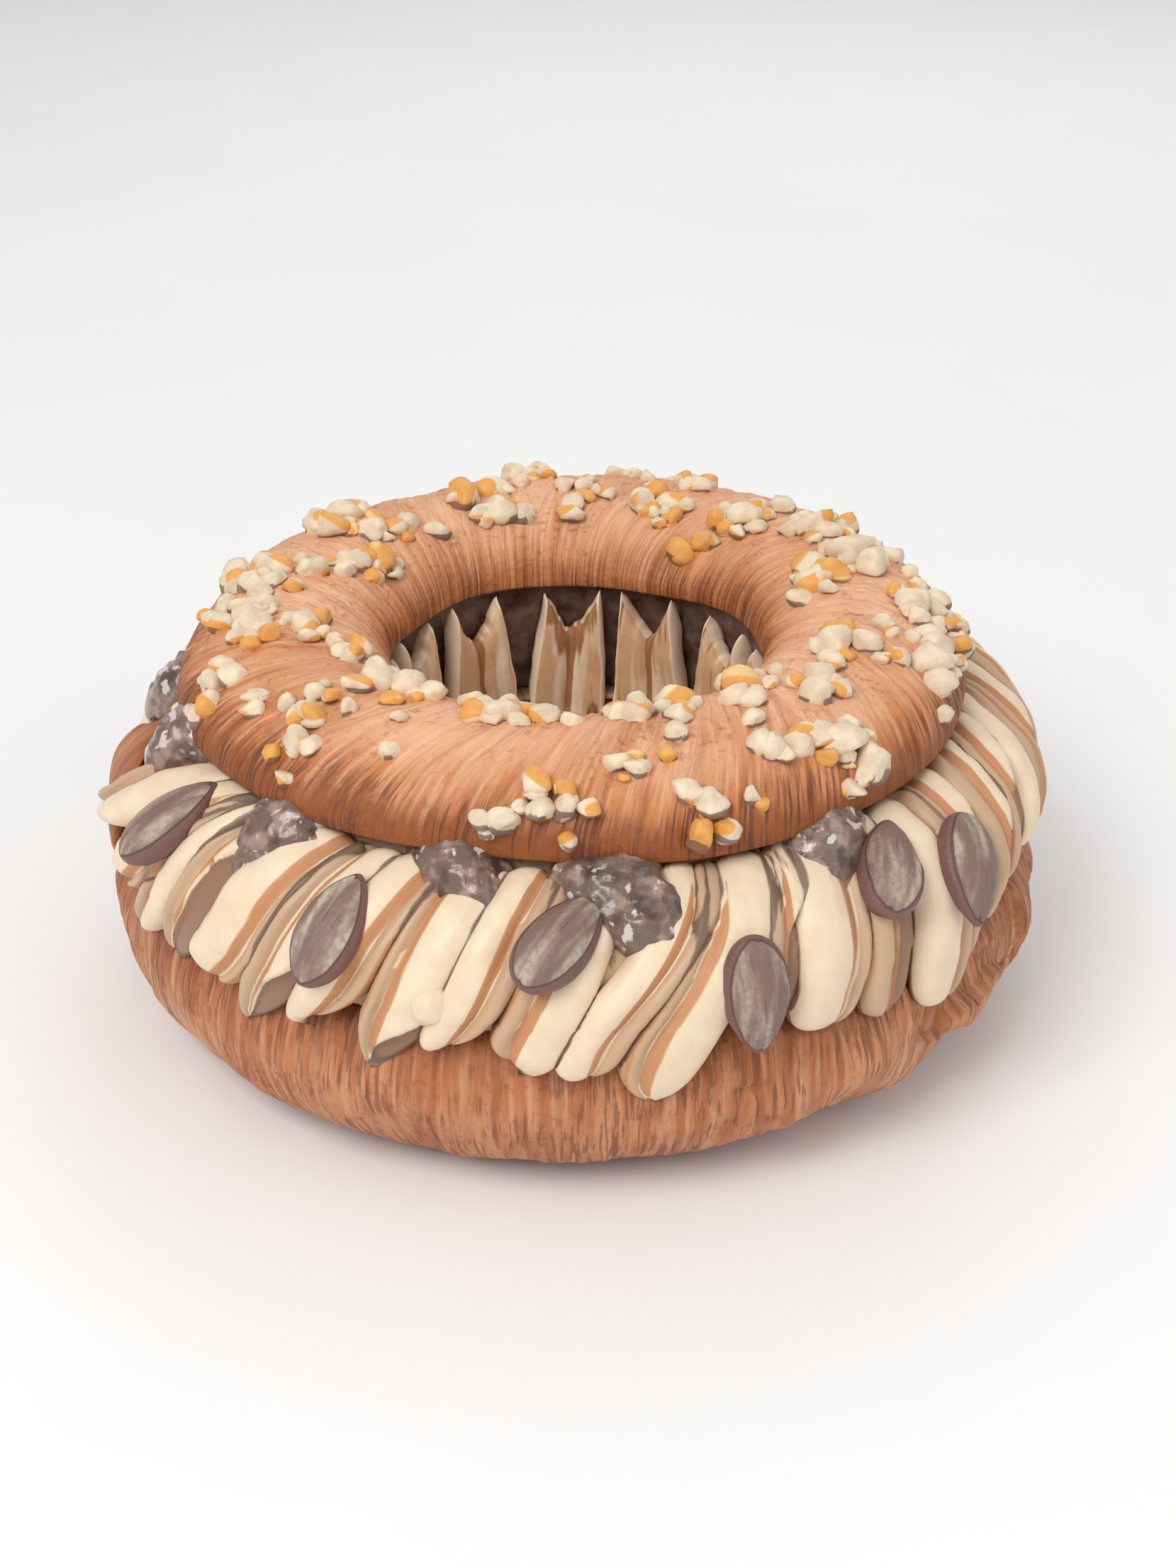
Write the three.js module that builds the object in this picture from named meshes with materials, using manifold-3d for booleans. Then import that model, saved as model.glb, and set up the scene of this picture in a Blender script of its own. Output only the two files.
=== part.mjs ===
// Paris-brest: a baked choux ring cut in two. The lower half carries a ring of piped cream whose
// fluted ribbons hang over its shoulder, a dark praline layer runs through the cream and drips from
// under the lid, almonds lie on the ribbons, and the upper half is a lid strewn with chopped nuts.
// Millimetres, +Z up, origin on the ground at the middle of the hole. Front is -Y.

import * as THREE from 'three';
import { mergeVertices } from 'three/addons/utils/BufferGeometryUtils.js';
import Module from 'manifold-3d';

const wasm = await Module();
wasm.setup();

// ---------------------------------------------------------------------------------------------
// Driving dimensions
// ---------------------------------------------------------------------------------------------

const GAP = 0.3; // clearance between neighbouring pieces
const ROOM = 0.6; // growth of an uneven piece where its place is cut out of a neighbour
const DRIP_ROOM = 1; // the same for a slanting run of praline

// The two halves of the bun: an ellipse carried round the axis, cut flat by the ground or the knife
const BASE = {
  middle: 70.5, // radius of the middle of the section
  halfWidth: 33,
  belly: 24.6, // height of the widest place, low enough for a wide flat underside
  halfHeight: 28.5,
  floor: 0,
  cut: 40, // height of the knife cut
  undercut: 7.5, // how far the foot is drawn in at the right of the front
  undercutAt: -52,
  around: 42,
  section: 12,
};

const LID = {
  middle: 63.6,
  halfWidth: 22.4,
  belly: 72.6,
  halfHeight: 15.1,
  floor: 71.3,
  cut: 200, // the crown of the lid is whole
  around: 40,
  section: 10,
};

// Praline: a layer under the lid that turns down along the wall of the hole
const PRALINE = {
  inner: 46,
  outer: 78,
  floor: 42.3,
  top: 70.4,
  foot: 58, // outer radius at the floor
  knee: 62, // outer radius where the wall meets the layer
  layer: 61, // underside of the layer
};

// The line that a ribbon of cream follows over the shoulder of the bed: a quarter of an ellipse
// from under the lid to the equator, then nearly straight down
const DRAPE = { middle: 78, reach: 22.7, equator: 47, rise: 18.3, start: 80.5, flare: 0.1 };

// Bed of cream, open above and inside where the praline lies
const BED = { inner: 42, floor: BASE.cut + GAP, toe: 97, sink: -0.8, rim: 69.5, around: 38 };

// A ribbon's section, as shares of its half width and depth: two ridges with a crease between
const RIBBON = { halfWidth: 7.9, depth: 5.6, steps: 6 };
const FLUTED = [[1, 0], [0.58, 1], [0, 0.6], [-0.58, 1], [-1, 0]];

// Ribbons of the front and right, from left to right: azimuths of top and tip in degrees,
// height of the tip, width against the usual one, sway, which is below 0 for an S curve, and how
// far the ribbon stands out beyond the others, as the round lobes at the left do
const SHOWN_RIBBONS = [
  { top: -146.5, tip: -164, low: 49.5, wide: 1.15, sway: 0.4, proud: 4.4 },
  { top: -139, tip: -157, low: 41, wide: 1.2, sway: 0.4, proud: 1.4 },
  { top: -136, tip: -151, low: 34, wide: 0.8, sway: 0.4 },
  { top: -130.5, tip: -143.5, low: 34, wide: 0.85, sway: 0.3 },
  { top: -123, tip: -135, low: 38, wide: 1.15, sway: 0.3 },
  { top: -116, tip: -129, low: 31.5, wide: 0.85, sway: 0.2 },
  { top: -108.5, tip: -120.5, low: 36, wide: 1.0, sway: 0.2 },
  { top: -101.5, tip: -112.5, low: 31.5, wide: 0.95, sway: 0.1 },
  { top: -94, tip: -104, low: 38, wide: 0.9, sway: 0.1 },
  { top: -87, tip: -96, low: 34.5, wide: 1.0, sway: 0 },
  { top: -75, tip: -89, low: 34, wide: 0.95, sway: -0.7 },
  { top: -69, tip: -81.5, low: 29, wide: 1.2, sway: -0.7 },
  { top: -63, tip: -67.5, low: 43, wide: 0.75, sway: -0.6 },
  { top: -58, tip: -62.5, low: 38, wide: 1.1, sway: 0 },
  { top: -50.5, tip: -54, low: 36, wide: 0.85, sway: 0 },
  { top: -42, tip: -45, low: 31, wide: 1.05, sway: -0.3 },
  { top: -34, tip: -38, low: 35, wide: 0.8, sway: 0 },
  { top: -24, tip: -34, low: 41, wide: 0.9, sway: 0.4 },
  { top: -14, tip: -29, low: 45, wide: 1.0, sway: 0.5 },
  { top: -4, tip: -22, low: 47, wide: 1.1, sway: 0.5 },
  { top: 6, tip: -12, low: 42, wide: 1.1, sway: 0.5 },
];

// The ribbons of the far side follow one rule, each a little off it; towards the flap they are
// flatter, and beside it they are short stubs
const FAR_RIBBONS = {
  first: 16,
  last: 196,
  count: 18,
  slant: 14,
  low: 36.5,
  stub: 62,
  stubFrom: 155, // azimuth of the tip, in degrees
  flatFrom: 140,
  flat: -4,
  seed: 500,
};

// Two-fluted strokes that line the hole: a crown with a horn on each edge and a notch between
const STROKE = {
  count: 12,
  firstAzimuth: 93.8,
  halfAngle: 13.4, // at the foot, degrees
  narrowing: 0.34, // share of the width lost at the top
  face: 39.6, // radius of the open face
  back: 45.4, // radius of the face on the praline
  notch: 59.5,
  horn: 70.9,
  edge: 1.3, // how far the edges stand proud of the face
  lip: 36.8, // the foot hangs over the edge of the bun down to here
  lipBack: 39.2,
  shelf: 40.45, // where the foot turns onto the bun
  shelfBack: 42.3,
};

// Praline that has run out from under the lid: azimuth, half width, height of the lowest point,
// how far it stands off the cream, and how far its lower end is shifted to the right, in degrees
const DRIPS = [
  { at: -130, halfWidth: 11, low: 58, lift: 5, tail: -4 },
  { at: -106, halfWidth: 11, low: 60.5, lift: 5, tail: 6 },
  { at: -85.5, halfWidth: 13.5, low: 55, lift: 5, tail: 5 },
  { at: -54.5, halfWidth: 13, low: 59.5, lift: 6, tail: -3 },
  { at: -159.5, halfWidth: 10.5, low: 58.5, lift: 7.5, tail: 0 },
  { at: -176, halfWidth: 10, low: 59.5, lift: 7.5, tail: 0 },
  { at: 88, halfWidth: 12, low: 60, lift: 4.4, tail: 0 },
];

// Almonds: azimuth, height and radius of the middle, and lean of the long axis from upright
const ALMOND = { halfLength: 12, halfWidth: 6.6, halfThickness: 4.6, sides: 7, steps: 5 };
const SHOWN_ALMONDS = [
  { at: -146, height: 63, radius: 98.8, lean: 5 },
  { at: -117, height: 60, radius: 100.9, lean: 9 },
  { at: -91.5, height: 62.7, radius: 98.5, lean: 36 },
  { at: -71, height: 51.5, radius: 104.7, lean: 180 },
  { at: -51, height: 64.5, radius: 96.8, lean: 40 },
  { at: -41, height: 59.6, radius: 103.2, lean: 212 },
];
const FAR_ALMONDS = { first: 38, last: 142, count: 5, height: 57, radius: 103, seed: 900 };

// A flap of crust at the left that rises from the lower half and curls in over the cream: its
// outer face is steepest at the widest place and domed above it
const FLAP = {
  at: -171,
  halfAngle: 13,
  foot: 31,
  top: 65,
  widest: 45,
  outer: 104.9, // radius of its outer face at the widest place
  flare: 0.27, // how fast it widens up to there
  dome: 26,
  curl: 34.5,
  thickness: 3.3,
  roomOut: 2.5, // how much faster than elsewhere the sloping faces grow
  roomIn: 2,
};

// Chopped nuts lie on the lid in drifts: azimuth and radius of the middle, half spread in
// degrees and in millimetres, and how many
const NUT = { small: 2.3, large: 4.3, sink: 0.25, seed: 40 };
const NUT_SHAPE = new THREE.Vector3(0.95, 1.15, 0.8);
const DRIFTS = [
  [-172, 75, 9, 7, 3], [-160, 56, 9, 7, 2], [-150, 79, 8, 5, 2], [-137, 75, 7, 7, 2],
  [-128, 58, 9, 6, 2], [-106, 57, 7, 4, 2], [-94, 80, 4, 3, 2], [-85, 73, 6, 4, 1],
  [-79, 56, 12, 3, 2], [-68, 81, 6, 3, 1], [-57, 79, 5, 4, 1], [-46, 51, 6, 4, 1],
  [-44, 79, 8, 4, 3], [-34, 63, 6, 6, 2], [-16, 64, 8, 6, 2], [-18, 80, 9, 4, 3],
  [0, 75, 8, 6, 2], [8, 53, 8, 6, 3], [20, 71, 9, 8, 2], [38, 68, 8, 7, 3],
  [50, 53, 8, 7, 1], [67, 56, 8, 6, 2], [72, 74, 10, 6, 2], [86, 56, 7, 6, 2],
  [97, 75, 10, 5, 1], [110, 58, 9, 8, 2], [133, 53, 7, 6, 1], [145, 69, 9, 7, 3],
  [158, 50, 8, 5, 2], [170, 66, 8, 9, 2],
];

// ---------------------------------------------------------------------------------------------
// Small helpers
// ---------------------------------------------------------------------------------------------

const rad = THREE.MathUtils.degToRad;
const TURN = 2 * Math.PI;

/** A number from 0 to 1 that depends only on the key, so that every draw can be repeated. */
function draw(key) {
  const wave = Math.sin(key * 127.1 + 311.7) * 43758.5453;
  return wave - Math.floor(wave);
}

/** A number from -1 to 1 that depends only on the key. */
function drawSigned(key) {
  return 2 * draw(key) - 1;
}

/** Slow unevenness around the ring: waves of the given counts per turn, in millimetres. */
function waver(azimuth, counts, size, seed) {
  let sum = 0;
  counts.forEach((count, index) => {
    sum += Math.sin(count * azimuth + TURN * draw(seed + index)) / (1 + 0.5 * index);
  });
  return size * sum;
}

/** A list of what `make` returns for 0, 1, 2 and so on. */
function series(count, make) {
  return Array.from({ length: count }, (_, index) => make(index));
}

/** Point at an azimuth in radians, a radius and a height. */
function ringPoint(azimuth, radius, height) {
  return new THREE.Vector3(radius * Math.cos(azimuth), radius * Math.sin(azimuth), height);
}

/** Moves each vertex of a three.js geometry to where `place` puts it and shares the seams. */
function warp(geometry, place) {
  geometry.deleteAttribute('normal');
  geometry.deleteAttribute('uv');
  const shared = mergeVertices(geometry, 1e-5);
  const position = shared.attributes.position;
  const point = new THREE.Vector3();
  for (let i = 0; i < position.count; i += 1) {
    place(point.fromBufferAttribute(position, i));
    position.setXYZ(i, point.x, point.y, point.z);
  }
  return shared;
}

/** The solid inside a closed geometry, turned right side out if the warp mirrored it. */
function solidOf(geometry) {
  const triVerts = Uint32Array.from(geometry.index.array);
  const vertProperties = Float32Array.from(geometry.attributes.position.array);
  const corners = series(3, () => new THREE.Vector3());
  let volume = 0;
  for (let i = 0; i < triVerts.length; i += 3) {
    corners.forEach((corner, k) => corner.fromArray(vertProperties, 3 * triVerts[i + k]));
    volume += corners[0].dot(corners[1].cross(corners[2]));
  }
  for (let i = 0; volume < 0 && i < triVerts.length; i += 3) {
    [triVerts[i], triVerts[i + 1]] = [triVerts[i + 1], triVerts[i]];
  }
  return new wasm.Manifold(new wasm.Mesh({ numProp: 3, vertProperties, triVerts }));
}

/** The largest connected shell of a solid. */
function mainBody(solid) {
  const shells = solid.decompose();
  return shells.reduce((best, shell) => (shell.volume() > best.volume() ? shell : best));
}

/** Fuses solids into one, without the sealed hollows and loose scraps that fusing may leave. */
function fuse(solids) {
  return mainBody(wasm.Manifold.union(solids));
}

/** What is left of a solid when others are cut out of it, without loose scraps. */
function carve(solid, tools) {
  return mainBody(wasm.Manifold.difference([solid, ...tools]));
}

/** A named mesh with its own material. */
function pieceOf(name, solid, color, roughness) {
  const { vertProperties, triVerts } = solid.getMesh();
  const geometry = new THREE.BufferGeometry();
  geometry.setAttribute('position', new THREE.BufferAttribute(vertProperties, 3));
  geometry.setIndex(new THREE.BufferAttribute(triVerts, 1));
  geometry.computeVertexNormals();
  const material = new THREE.MeshStandardMaterial({ color, roughness, metalness: 0 });
  const mesh = new THREE.Mesh(geometry, material);
  mesh.name = name;
  return mesh;
}

// ---------------------------------------------------------------------------------------------
// The two halves of the choux bun
// ---------------------------------------------------------------------------------------------

/** Half a bun, larger all round by `grow`; `relief(azimuth, across, height)` moves its crust. */
function bunRing(size, grow, relief) {
  const torus = new THREE.TorusGeometry(2, 1, size.section, size.around);
  return solidOf(warp(torus, (point) => {
    const azimuth = Math.atan2(point.y, point.x);
    const across = Math.hypot(point.x, point.y) - 2;
    const height = size.belly + (size.halfHeight + grow) * point.z;
    const level = THREE.MathUtils.clamp(height, size.floor - grow, size.cut + grow);
    const radius = size.middle + (size.halfWidth + grow) * across;
    point.copy(ringPoint(azimuth, radius + relief(azimuth, across, level), level));
  }));
}

/** Crust of the lower half: slow waves, a foot drawn in at the right, and crags above it. */
function baseRelief(azimuth, across, height) {
  const outer = Math.max(0, across);
  const crag = Math.max(0, Math.cos(azimuth + rad(38))) ** 3;
  const rough = waver(azimuth, [17, 23], 0.8, 7) * Math.sin(0.21 * height + 4 * azimuth);
  const foot = Math.max(0, 1 - height / BASE.belly) ** 1.5;
  const drawnIn = BASE.undercut * foot * Math.max(0, Math.cos(azimuth - rad(BASE.undercutAt)));
  return outer * (waver(azimuth, [2, 3, 5], 0.7, 1) + (0.4 + crag) * rough - drawnIn);
}

/** Crust of the lid: an outline that isn't quite round, on the outside and at the hole. */
function lidRelief(azimuth, across) {
  return across * waver(azimuth, [3, 5, 8], 0.75, 11) + waver(azimuth, [2, 4], 0.5, 17);
}

/** Outer radius of the lower half at an azimuth and a height below the cut. */
function baseRadius(azimuth, height) {
  const level = Math.min(height, BASE.cut);
  const across = Math.sqrt(1 - ((level - BASE.belly) / BASE.halfHeight) ** 2);
  return BASE.middle + BASE.halfWidth * across + baseRelief(azimuth, across, level);
}

/** Height of the lid's crust at a radius. */
function lidHeight(radius) {
  const across = THREE.MathUtils.clamp((radius - LID.middle) / LID.halfWidth, -0.97, 0.97);
  return LID.belly + LID.halfHeight * Math.sqrt(1 - across * across);
}

/** Radius of the flap's outer face at a height. */
function flapRadius(height) {
  const { widest, outer, flare, dome, curl } = FLAP;
  const rise = THREE.MathUtils.clamp((height - widest) / dome, 0, 1);
  return outer - flare * Math.max(0, widest - height) - curl * (1 - Math.sqrt(1 - rise * rise));
}

/** The flap of crust that curls in over the cream. */
function crustFlap(grow) {
  const box = new THREE.BoxGeometry(2, 2, 2, 4, 1, 4);
  return solidOf(warp(box, (point) => {
    const lift = (point.z + 1) / 2;
    const ragged = 1 - 0.45 * point.x ** 2 + 0.15 * point.x;
    const level = FLAP.foot + (FLAP.top - FLAP.foot) * lift * ragged;
    const height = level + (Math.abs(point.z) === 1 ? grow * point.z : 0);
    const azimuth = rad(FLAP.at + (FLAP.halfAngle * (1 - 0.3 * lift) + grow) * point.x);
    const wall = point.y > 0 ? FLAP.roomOut * grow : -FLAP.thickness - FLAP.roomIn * grow;
    point.copy(ringPoint(azimuth, flapRadius(level) + wall, height));
  }));
}

// ---------------------------------------------------------------------------------------------
// Cream and praline
// ---------------------------------------------------------------------------------------------

/** A ring turned from a profile of radius and height corners. */
function turnedRing(corners, around) {
  const profile = [...corners, corners[0]].map(([radius, height]) => {
    return new THREE.Vector2(radius, height);
  });
  const lathe = new THREE.LatheGeometry(profile, around);
  lathe.rotateX(Math.PI / 2);
  return solidOf(warp(lathe, () => {}));
}

/** The praline layer, without its drips. */
function pralineRing() {
  const { inner, outer, floor, top, foot, knee, layer } = PRALINE;
  const corners = [[inner, floor], [foot, floor], [knee, layer], [outer, layer], [outer, top]];
  return turnedRing([...corners, [inner, top]], BED.around);
}

/** The bed that joins the ribbons and the strokes and holds the praline. */
function creamBed() {
  const { inner, floor, toe, sink, rim, around } = BED;
  const { outer, foot, knee, layer } = PRALINE;
  const shoulder = [0, 0.35, 0.7, 1].map((share) => {
    const spot = drapeAt(ARC_LENGTH * (1 - share));
    return [spot.radius - sink * spot.out, spot.height - sink * spot.up];
  });
  const channel = [
    [outer + GAP, rim],
    [outer + GAP, layer - GAP],
    [knee + GAP, layer - GAP],
    [foot + GAP, PRALINE.floor - GAP],
    [inner, PRALINE.floor - GAP],
  ];
  return turnedRing([[inner, floor], [toe, floor], ...shoulder, ...channel], around);
}

const START_ANGLE = Math.acos((DRAPE.start - DRAPE.middle) / DRAPE.reach);
const ARC_LENGTH = (START_ANGLE * (DRAPE.reach + DRAPE.rise)) / 2;

/** Length of the drape line from its start down to a height. */
function drapeLength(low) {
  if (low < DRAPE.equator) return ARC_LENGTH + DRAPE.equator - low;
  return ARC_LENGTH * (1 - Math.asin((low - DRAPE.equator) / DRAPE.rise) / START_ANGLE);
}

/** Radius, height and outward direction at a length along the drape line. */
function drapeAt(length) {
  if (length > ARC_LENGTH) {
    const drop = length - ARC_LENGTH;
    const radius = DRAPE.middle + DRAPE.reach + DRAPE.flare * drop;
    return { radius, height: DRAPE.equator - drop, out: 1, up: DRAPE.flare };
  }
  const angle = START_ANGLE * (1 - length / ARC_LENGTH);
  const out = Math.cos(angle) / DRAPE.reach;
  const up = Math.sin(angle) / DRAPE.rise;
  const norm = Math.hypot(out, up);
  return {
    radius: DRAPE.middle + DRAPE.reach * Math.cos(angle),
    height: DRAPE.equator + DRAPE.rise * Math.sin(angle),
    out: out / norm,
    up: up / norm,
  };
}

/** Share of the full width at a share of the length: blunt at the start, round at the tip. */
function fullness(along) {
  const start = Math.max(0, 1 - along / 0.1);
  const end = Math.max(0, 1 - (1 - along) / 0.3);
  return Math.sqrt((1 - start * start) * (1 - end * end));
}

/** Share of the way along and around a sphere whose poles lie on its Y axis. */
function spherePlace(point) {
  const along = Math.acos(THREE.MathUtils.clamp(point.y, -1, 1)) / Math.PI;
  const around = (Math.atan2(point.z, -point.x) / TURN + 1) % 1;
  return { along, around };
}

/** One piped ribbon, draped from top to tip and resting on the shoulder of the bun. */
function ribbon({ top, tip, low, wide, sway, proud = 0 }) {
  const sphere = new THREE.SphereGeometry(1, FLUTED.length, RIBBON.steps);
  const length = drapeLength(low);
  return solidOf(warp(sphere, (point) => {
    const { along, around } = spherePlace(point);
    const [side, depth] = FLUTED[Math.round(around * FLUTED.length) % FLUTED.length];
    const shift = along + (sway * Math.sin(TURN * along)) / TURN;
    const spot = drapeAt(length * along);
    const full = fullness(along);
    const azimuth = rad(top + (tip - top) * shift)
      + (RIBBON.halfWidth * wide * full * side) / spot.radius;
    const height = spot.height + RIBBON.depth * full * depth * spot.up;
    const rest = height < BASE.cut + 3 ? baseRadius(azimuth, height) + 2 * ROOM : 0;
    const radius = spot.radius + (RIBBON.depth + proud) * full * depth * spot.out;
    point.copy(ringPoint(azimuth, Math.max(radius, rest), height));
  }));
}

function farRibbon(index) {
  const { first, last, count, slant, low, stub, stubFrom, flatFrom, flat, seed } = FAR_RIBBONS;
  const key = seed + 10 * index;
  const top = first + ((last - first) * index) / (count - 1) + 1.2 * drawSigned(key);
  const tip = top - slant - 3 * drawSigned(key + 1);
  return ribbon({
    top,
    tip,
    low: tip > stubFrom ? stub : low + 5 * drawSigned(key + 2),
    wide: 1.16 + 0.1 * drawSigned(key + 3),
    sway: 0.6 * drawSigned(key + 4),
    proud: tip > flatFrom ? flat : 0,
  });
}

/** One stroke on the wall of the hole. */
function stroke(index) {
  const box = new THREE.BoxGeometry(2, 2, 3, 4, 1, 3);
  const middle = STROKE.firstAzimuth + (360 / STROKE.count) * index;
  const lean = 2.5 * drawSigned(700 + index);
  return solidOf(warp(box, (point) => {
    const across = point.x;
    const crown = STROKE.notch + (STROKE.horn - STROKE.notch) * Math.abs(across) ** 1.3;
    const level = Math.round(point.z + 1.5);
    const height = [STROKE.lip, STROKE.shelf, (STROKE.shelf + crown) / 2, crown][level];
    const back = [STROKE.lipBack, STROKE.shelfBack, STROKE.back, STROKE.back][level];
    const lift = (height - STROKE.lip) / (STROKE.horn - STROKE.lip);
    const narrow = 1 - STROKE.narrowing * lift ** 1.5;
    const azimuth = rad(middle + STROKE.halfAngle * narrow * across + lean * lift);
    const proud = STROKE.edge * (across ** 2 - Math.exp(-((across / 0.2) ** 2)));
    const face = STROKE.face - proud - (level === 0 ? 1 : 0.4);
    point.copy(ringPoint(azimuth, point.y > 0 ? back : face, height));
  }));
}

/** One run of praline: broad under the lid and narrowing to its lowest point. */
function drip({ at, halfWidth, low, lift, tail }, grow) {
  const sphere = new THREE.SphereGeometry(1, 6, 5);
  const start = 0.2 * ARC_LENGTH;
  const length = drapeLength(low) + start;
  return solidOf(warp(sphere, (point) => {
    const { along, around } = spherePlace(point);
    const angle = TURN * around;
    const spot = drapeAt(length * along - start);
    const round = Math.sqrt(Math.max(0, Math.sin(Math.PI * along)));
    const full = round * (1.15 - 0.6 * along);
    const side = (halfWidth * full + grow * round) * Math.cos(angle);
    const depth = ((lift + RIBBON.depth) * full + grow * round) * Math.sin(angle);
    const tipGrow = grow * Math.cos(Math.PI * along);
    const azimuth = rad(at + tail * along ** 2) + side / spot.radius;
    const radius = spot.radius + depth * spot.out - tipGrow * spot.up;
    point.copy(ringPoint(azimuth, radius, spot.height + depth * spot.up + tipGrow * spot.out));
  }));
}

// ---------------------------------------------------------------------------------------------
// Almonds and chopped nuts
// ---------------------------------------------------------------------------------------------

/** One almond, pointed at its upper end, its broad side facing out from the ring. */
function almond({ at, height, radius, lean }, grow) {
  const sphere = new THREE.SphereGeometry(1, ALMOND.sides, ALMOND.steps);
  const centre = ringPoint(rad(at), radius, height);
  const steep = THREE.MathUtils.clamp((height - DRAPE.equator) / DRAPE.rise, 0, 0.9);
  const out = ringPoint(rad(at), Math.sqrt(1 - steep * steep), steep);
  const sideways = new THREE.Vector3(-Math.sin(rad(at)), Math.cos(rad(at)), 0);
  const upwards = new THREE.Vector3().crossVectors(out, sideways);
  const long = upwards.clone().applyAxisAngle(out, -rad(lean));
  const broad = new THREE.Vector3().crossVectors(out, long);
  return solidOf(warp(sphere, (point) => {
    const taper = 1 - 0.24 * point.y - 0.12 * point.y ** 2;
    const { x, y, z } = point;
    point.copy(centre);
    point.addScaledVector(long, (ALMOND.halfLength + grow) * y);
    point.addScaledVector(broad, (ALMOND.halfWidth + grow) * taper * x);
    point.addScaledVector(out, (ALMOND.halfThickness + grow) * taper * z);
  }));
}

function farAlmond(index) {
  const { first, last, count, height, radius, seed } = FAR_ALMONDS;
  const key = seed + 10 * index;
  return {
    at: first + ((last - first) * index) / (count - 1) + 4 * drawSigned(key),
    height: height + 4 * drawSigned(key + 1),
    radius,
    lean: 50 * drawSigned(key + 2),
  };
}

/** One chip of nut, an uneven lump lying on the lid and partly sunk in it. */
function nut([at, radius, spreadAngle, spreadRadius], key) {
  const azimuth = rad(at + spreadAngle * drawSigned(key));
  const spotRadius = radius + spreadRadius * drawSigned(key + 1);
  const size = NUT.small + (NUT.large - NUT.small) * draw(key + 2) ** 1.3;
  const turn = new THREE.Euler(TURN * draw(key + 3), 0, TURN * draw(key + 4));
  const height = lidHeight(spotRadius) + size * NUT.sink;
  const centre = ringPoint(azimuth, spotRadius, height);
  const chip = new THREE.SphereGeometry(1, 4, 3);
  return solidOf(warp(chip, (point) => {
    const corner = Math.round(2 * point.x + 4 * point.y + 8 * point.z);
    point.multiply(NUT_SHAPE).multiplyScalar(size * (1 + 0.3 * drawSigned(key + 0.1 * corner)));
    point.applyEuler(turn).add(centre);
  }));
}

function nuts() {
  return DRIFTS.flatMap((drift, number) => {
    const [count] = drift.slice(-1);
    return series(count, (index) => nut(drift, NUT.seed + 60 * number + 7 * index));
  });
}

// ---------------------------------------------------------------------------------------------
// The pastry
// ---------------------------------------------------------------------------------------------

const almondSpots = [...SHOWN_ALMONDS, ...series(FAR_ALMONDS.count, farAlmond)];
const almondRoom = almondSpots.map((spot) => almond(spot, ROOM));

const base = fuse([bunRing(BASE, 0, baseRelief), crustFlap(0)]);
const lid = fuse([bunRing(LID, 0, lidRelief), ...nuts()]);

const pralineBlank = fuse([pralineRing(), ...DRIPS.map((run) => drip(run, 0))]);
const pralineRoom = [bunRing(LID, ROOM, lidRelief), crustFlap(ROOM), ...almondRoom];
const praline = carve(pralineBlank, pralineRoom);

const creamBlank = fuse([
  creamBed(),
  ...SHOWN_RIBBONS.map(ribbon),
  ...series(FAR_RIBBONS.count, farRibbon),
  ...series(STROKE.count, stroke),
]);
const dripRoom = DRIPS.map((run) => drip(run, DRIP_ROOM));
const cream = carve(creamBlank, [crustFlap(ROOM), ...dripRoom, ...almondRoom]);

const parisBrest = new THREE.Group();
parisBrest.add(
  pieceOf('base_choux', base, '#c98555', 0.75),
  pieceOf('cream', cream, '#f0dcc0', 0.5),
  pieceOf('praline', praline, '#4d3128', 0.25),
  pieceOf('lid_choux', lid, '#d98c58', 0.7),
);
almondSpots.forEach((spot, index) => {
  const name = `almond_${String(index + 1).padStart(2, '0')}`;
  parisBrest.add(pieceOf(name, almond(spot, 0), '#6f5454', 0.6));
});

export default parisBrest;
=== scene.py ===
"""Looks of a paris-brest: a choux ring cut in two round piped cream, praline and whole almonds.

Sizes are in millimetres and become metres where a mesh is made. Azimuths are in degrees from +X,
counterclockwise from above, so the front is at -90. Every piece is a closed surface worked out
as whole arrays, and it lies where the solid that it stands for lies.
"""

import logging
from dataclasses import dataclass
from enum import Enum
from typing import Any

import bpy
import numpy as np
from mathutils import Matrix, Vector


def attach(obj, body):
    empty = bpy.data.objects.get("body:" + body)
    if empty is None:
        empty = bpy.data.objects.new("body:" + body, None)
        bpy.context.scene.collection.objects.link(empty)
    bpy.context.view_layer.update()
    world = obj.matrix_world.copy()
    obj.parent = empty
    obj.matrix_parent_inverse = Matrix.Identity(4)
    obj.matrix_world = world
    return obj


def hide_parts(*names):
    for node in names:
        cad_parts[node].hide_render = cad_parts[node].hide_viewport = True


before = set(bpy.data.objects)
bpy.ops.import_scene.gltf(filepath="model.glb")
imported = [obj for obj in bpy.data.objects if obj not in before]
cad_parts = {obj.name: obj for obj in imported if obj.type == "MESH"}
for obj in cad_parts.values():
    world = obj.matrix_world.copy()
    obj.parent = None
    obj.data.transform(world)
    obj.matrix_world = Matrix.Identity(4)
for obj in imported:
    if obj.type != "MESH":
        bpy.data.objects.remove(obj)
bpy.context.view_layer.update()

LOG = logging.getLogger("paris_brest")
MM = 0.001
TURN = 2 * np.pi
WELD = 1e-4  # points closer than this, in millimetres, are one point
DRAW_PACE, DRAW_PHASE, DRAW_HEIGHT = 127.1, 311.7, 43758.5453  # of the sine that draw reads
CELL_KEYS = np.array([1.0, 57.0, 113.7])  # what a step along x, y or z adds to a cell's key
SEED_KEY = 31.3  # what a step of the seed adds to it
GRAIN_DEPTH = 0.0006  # height of a skin's finest relief, in metres
RIBBON_DEPTH = 5.6  # how far a ribbon of cream stands out of the drape

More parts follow.
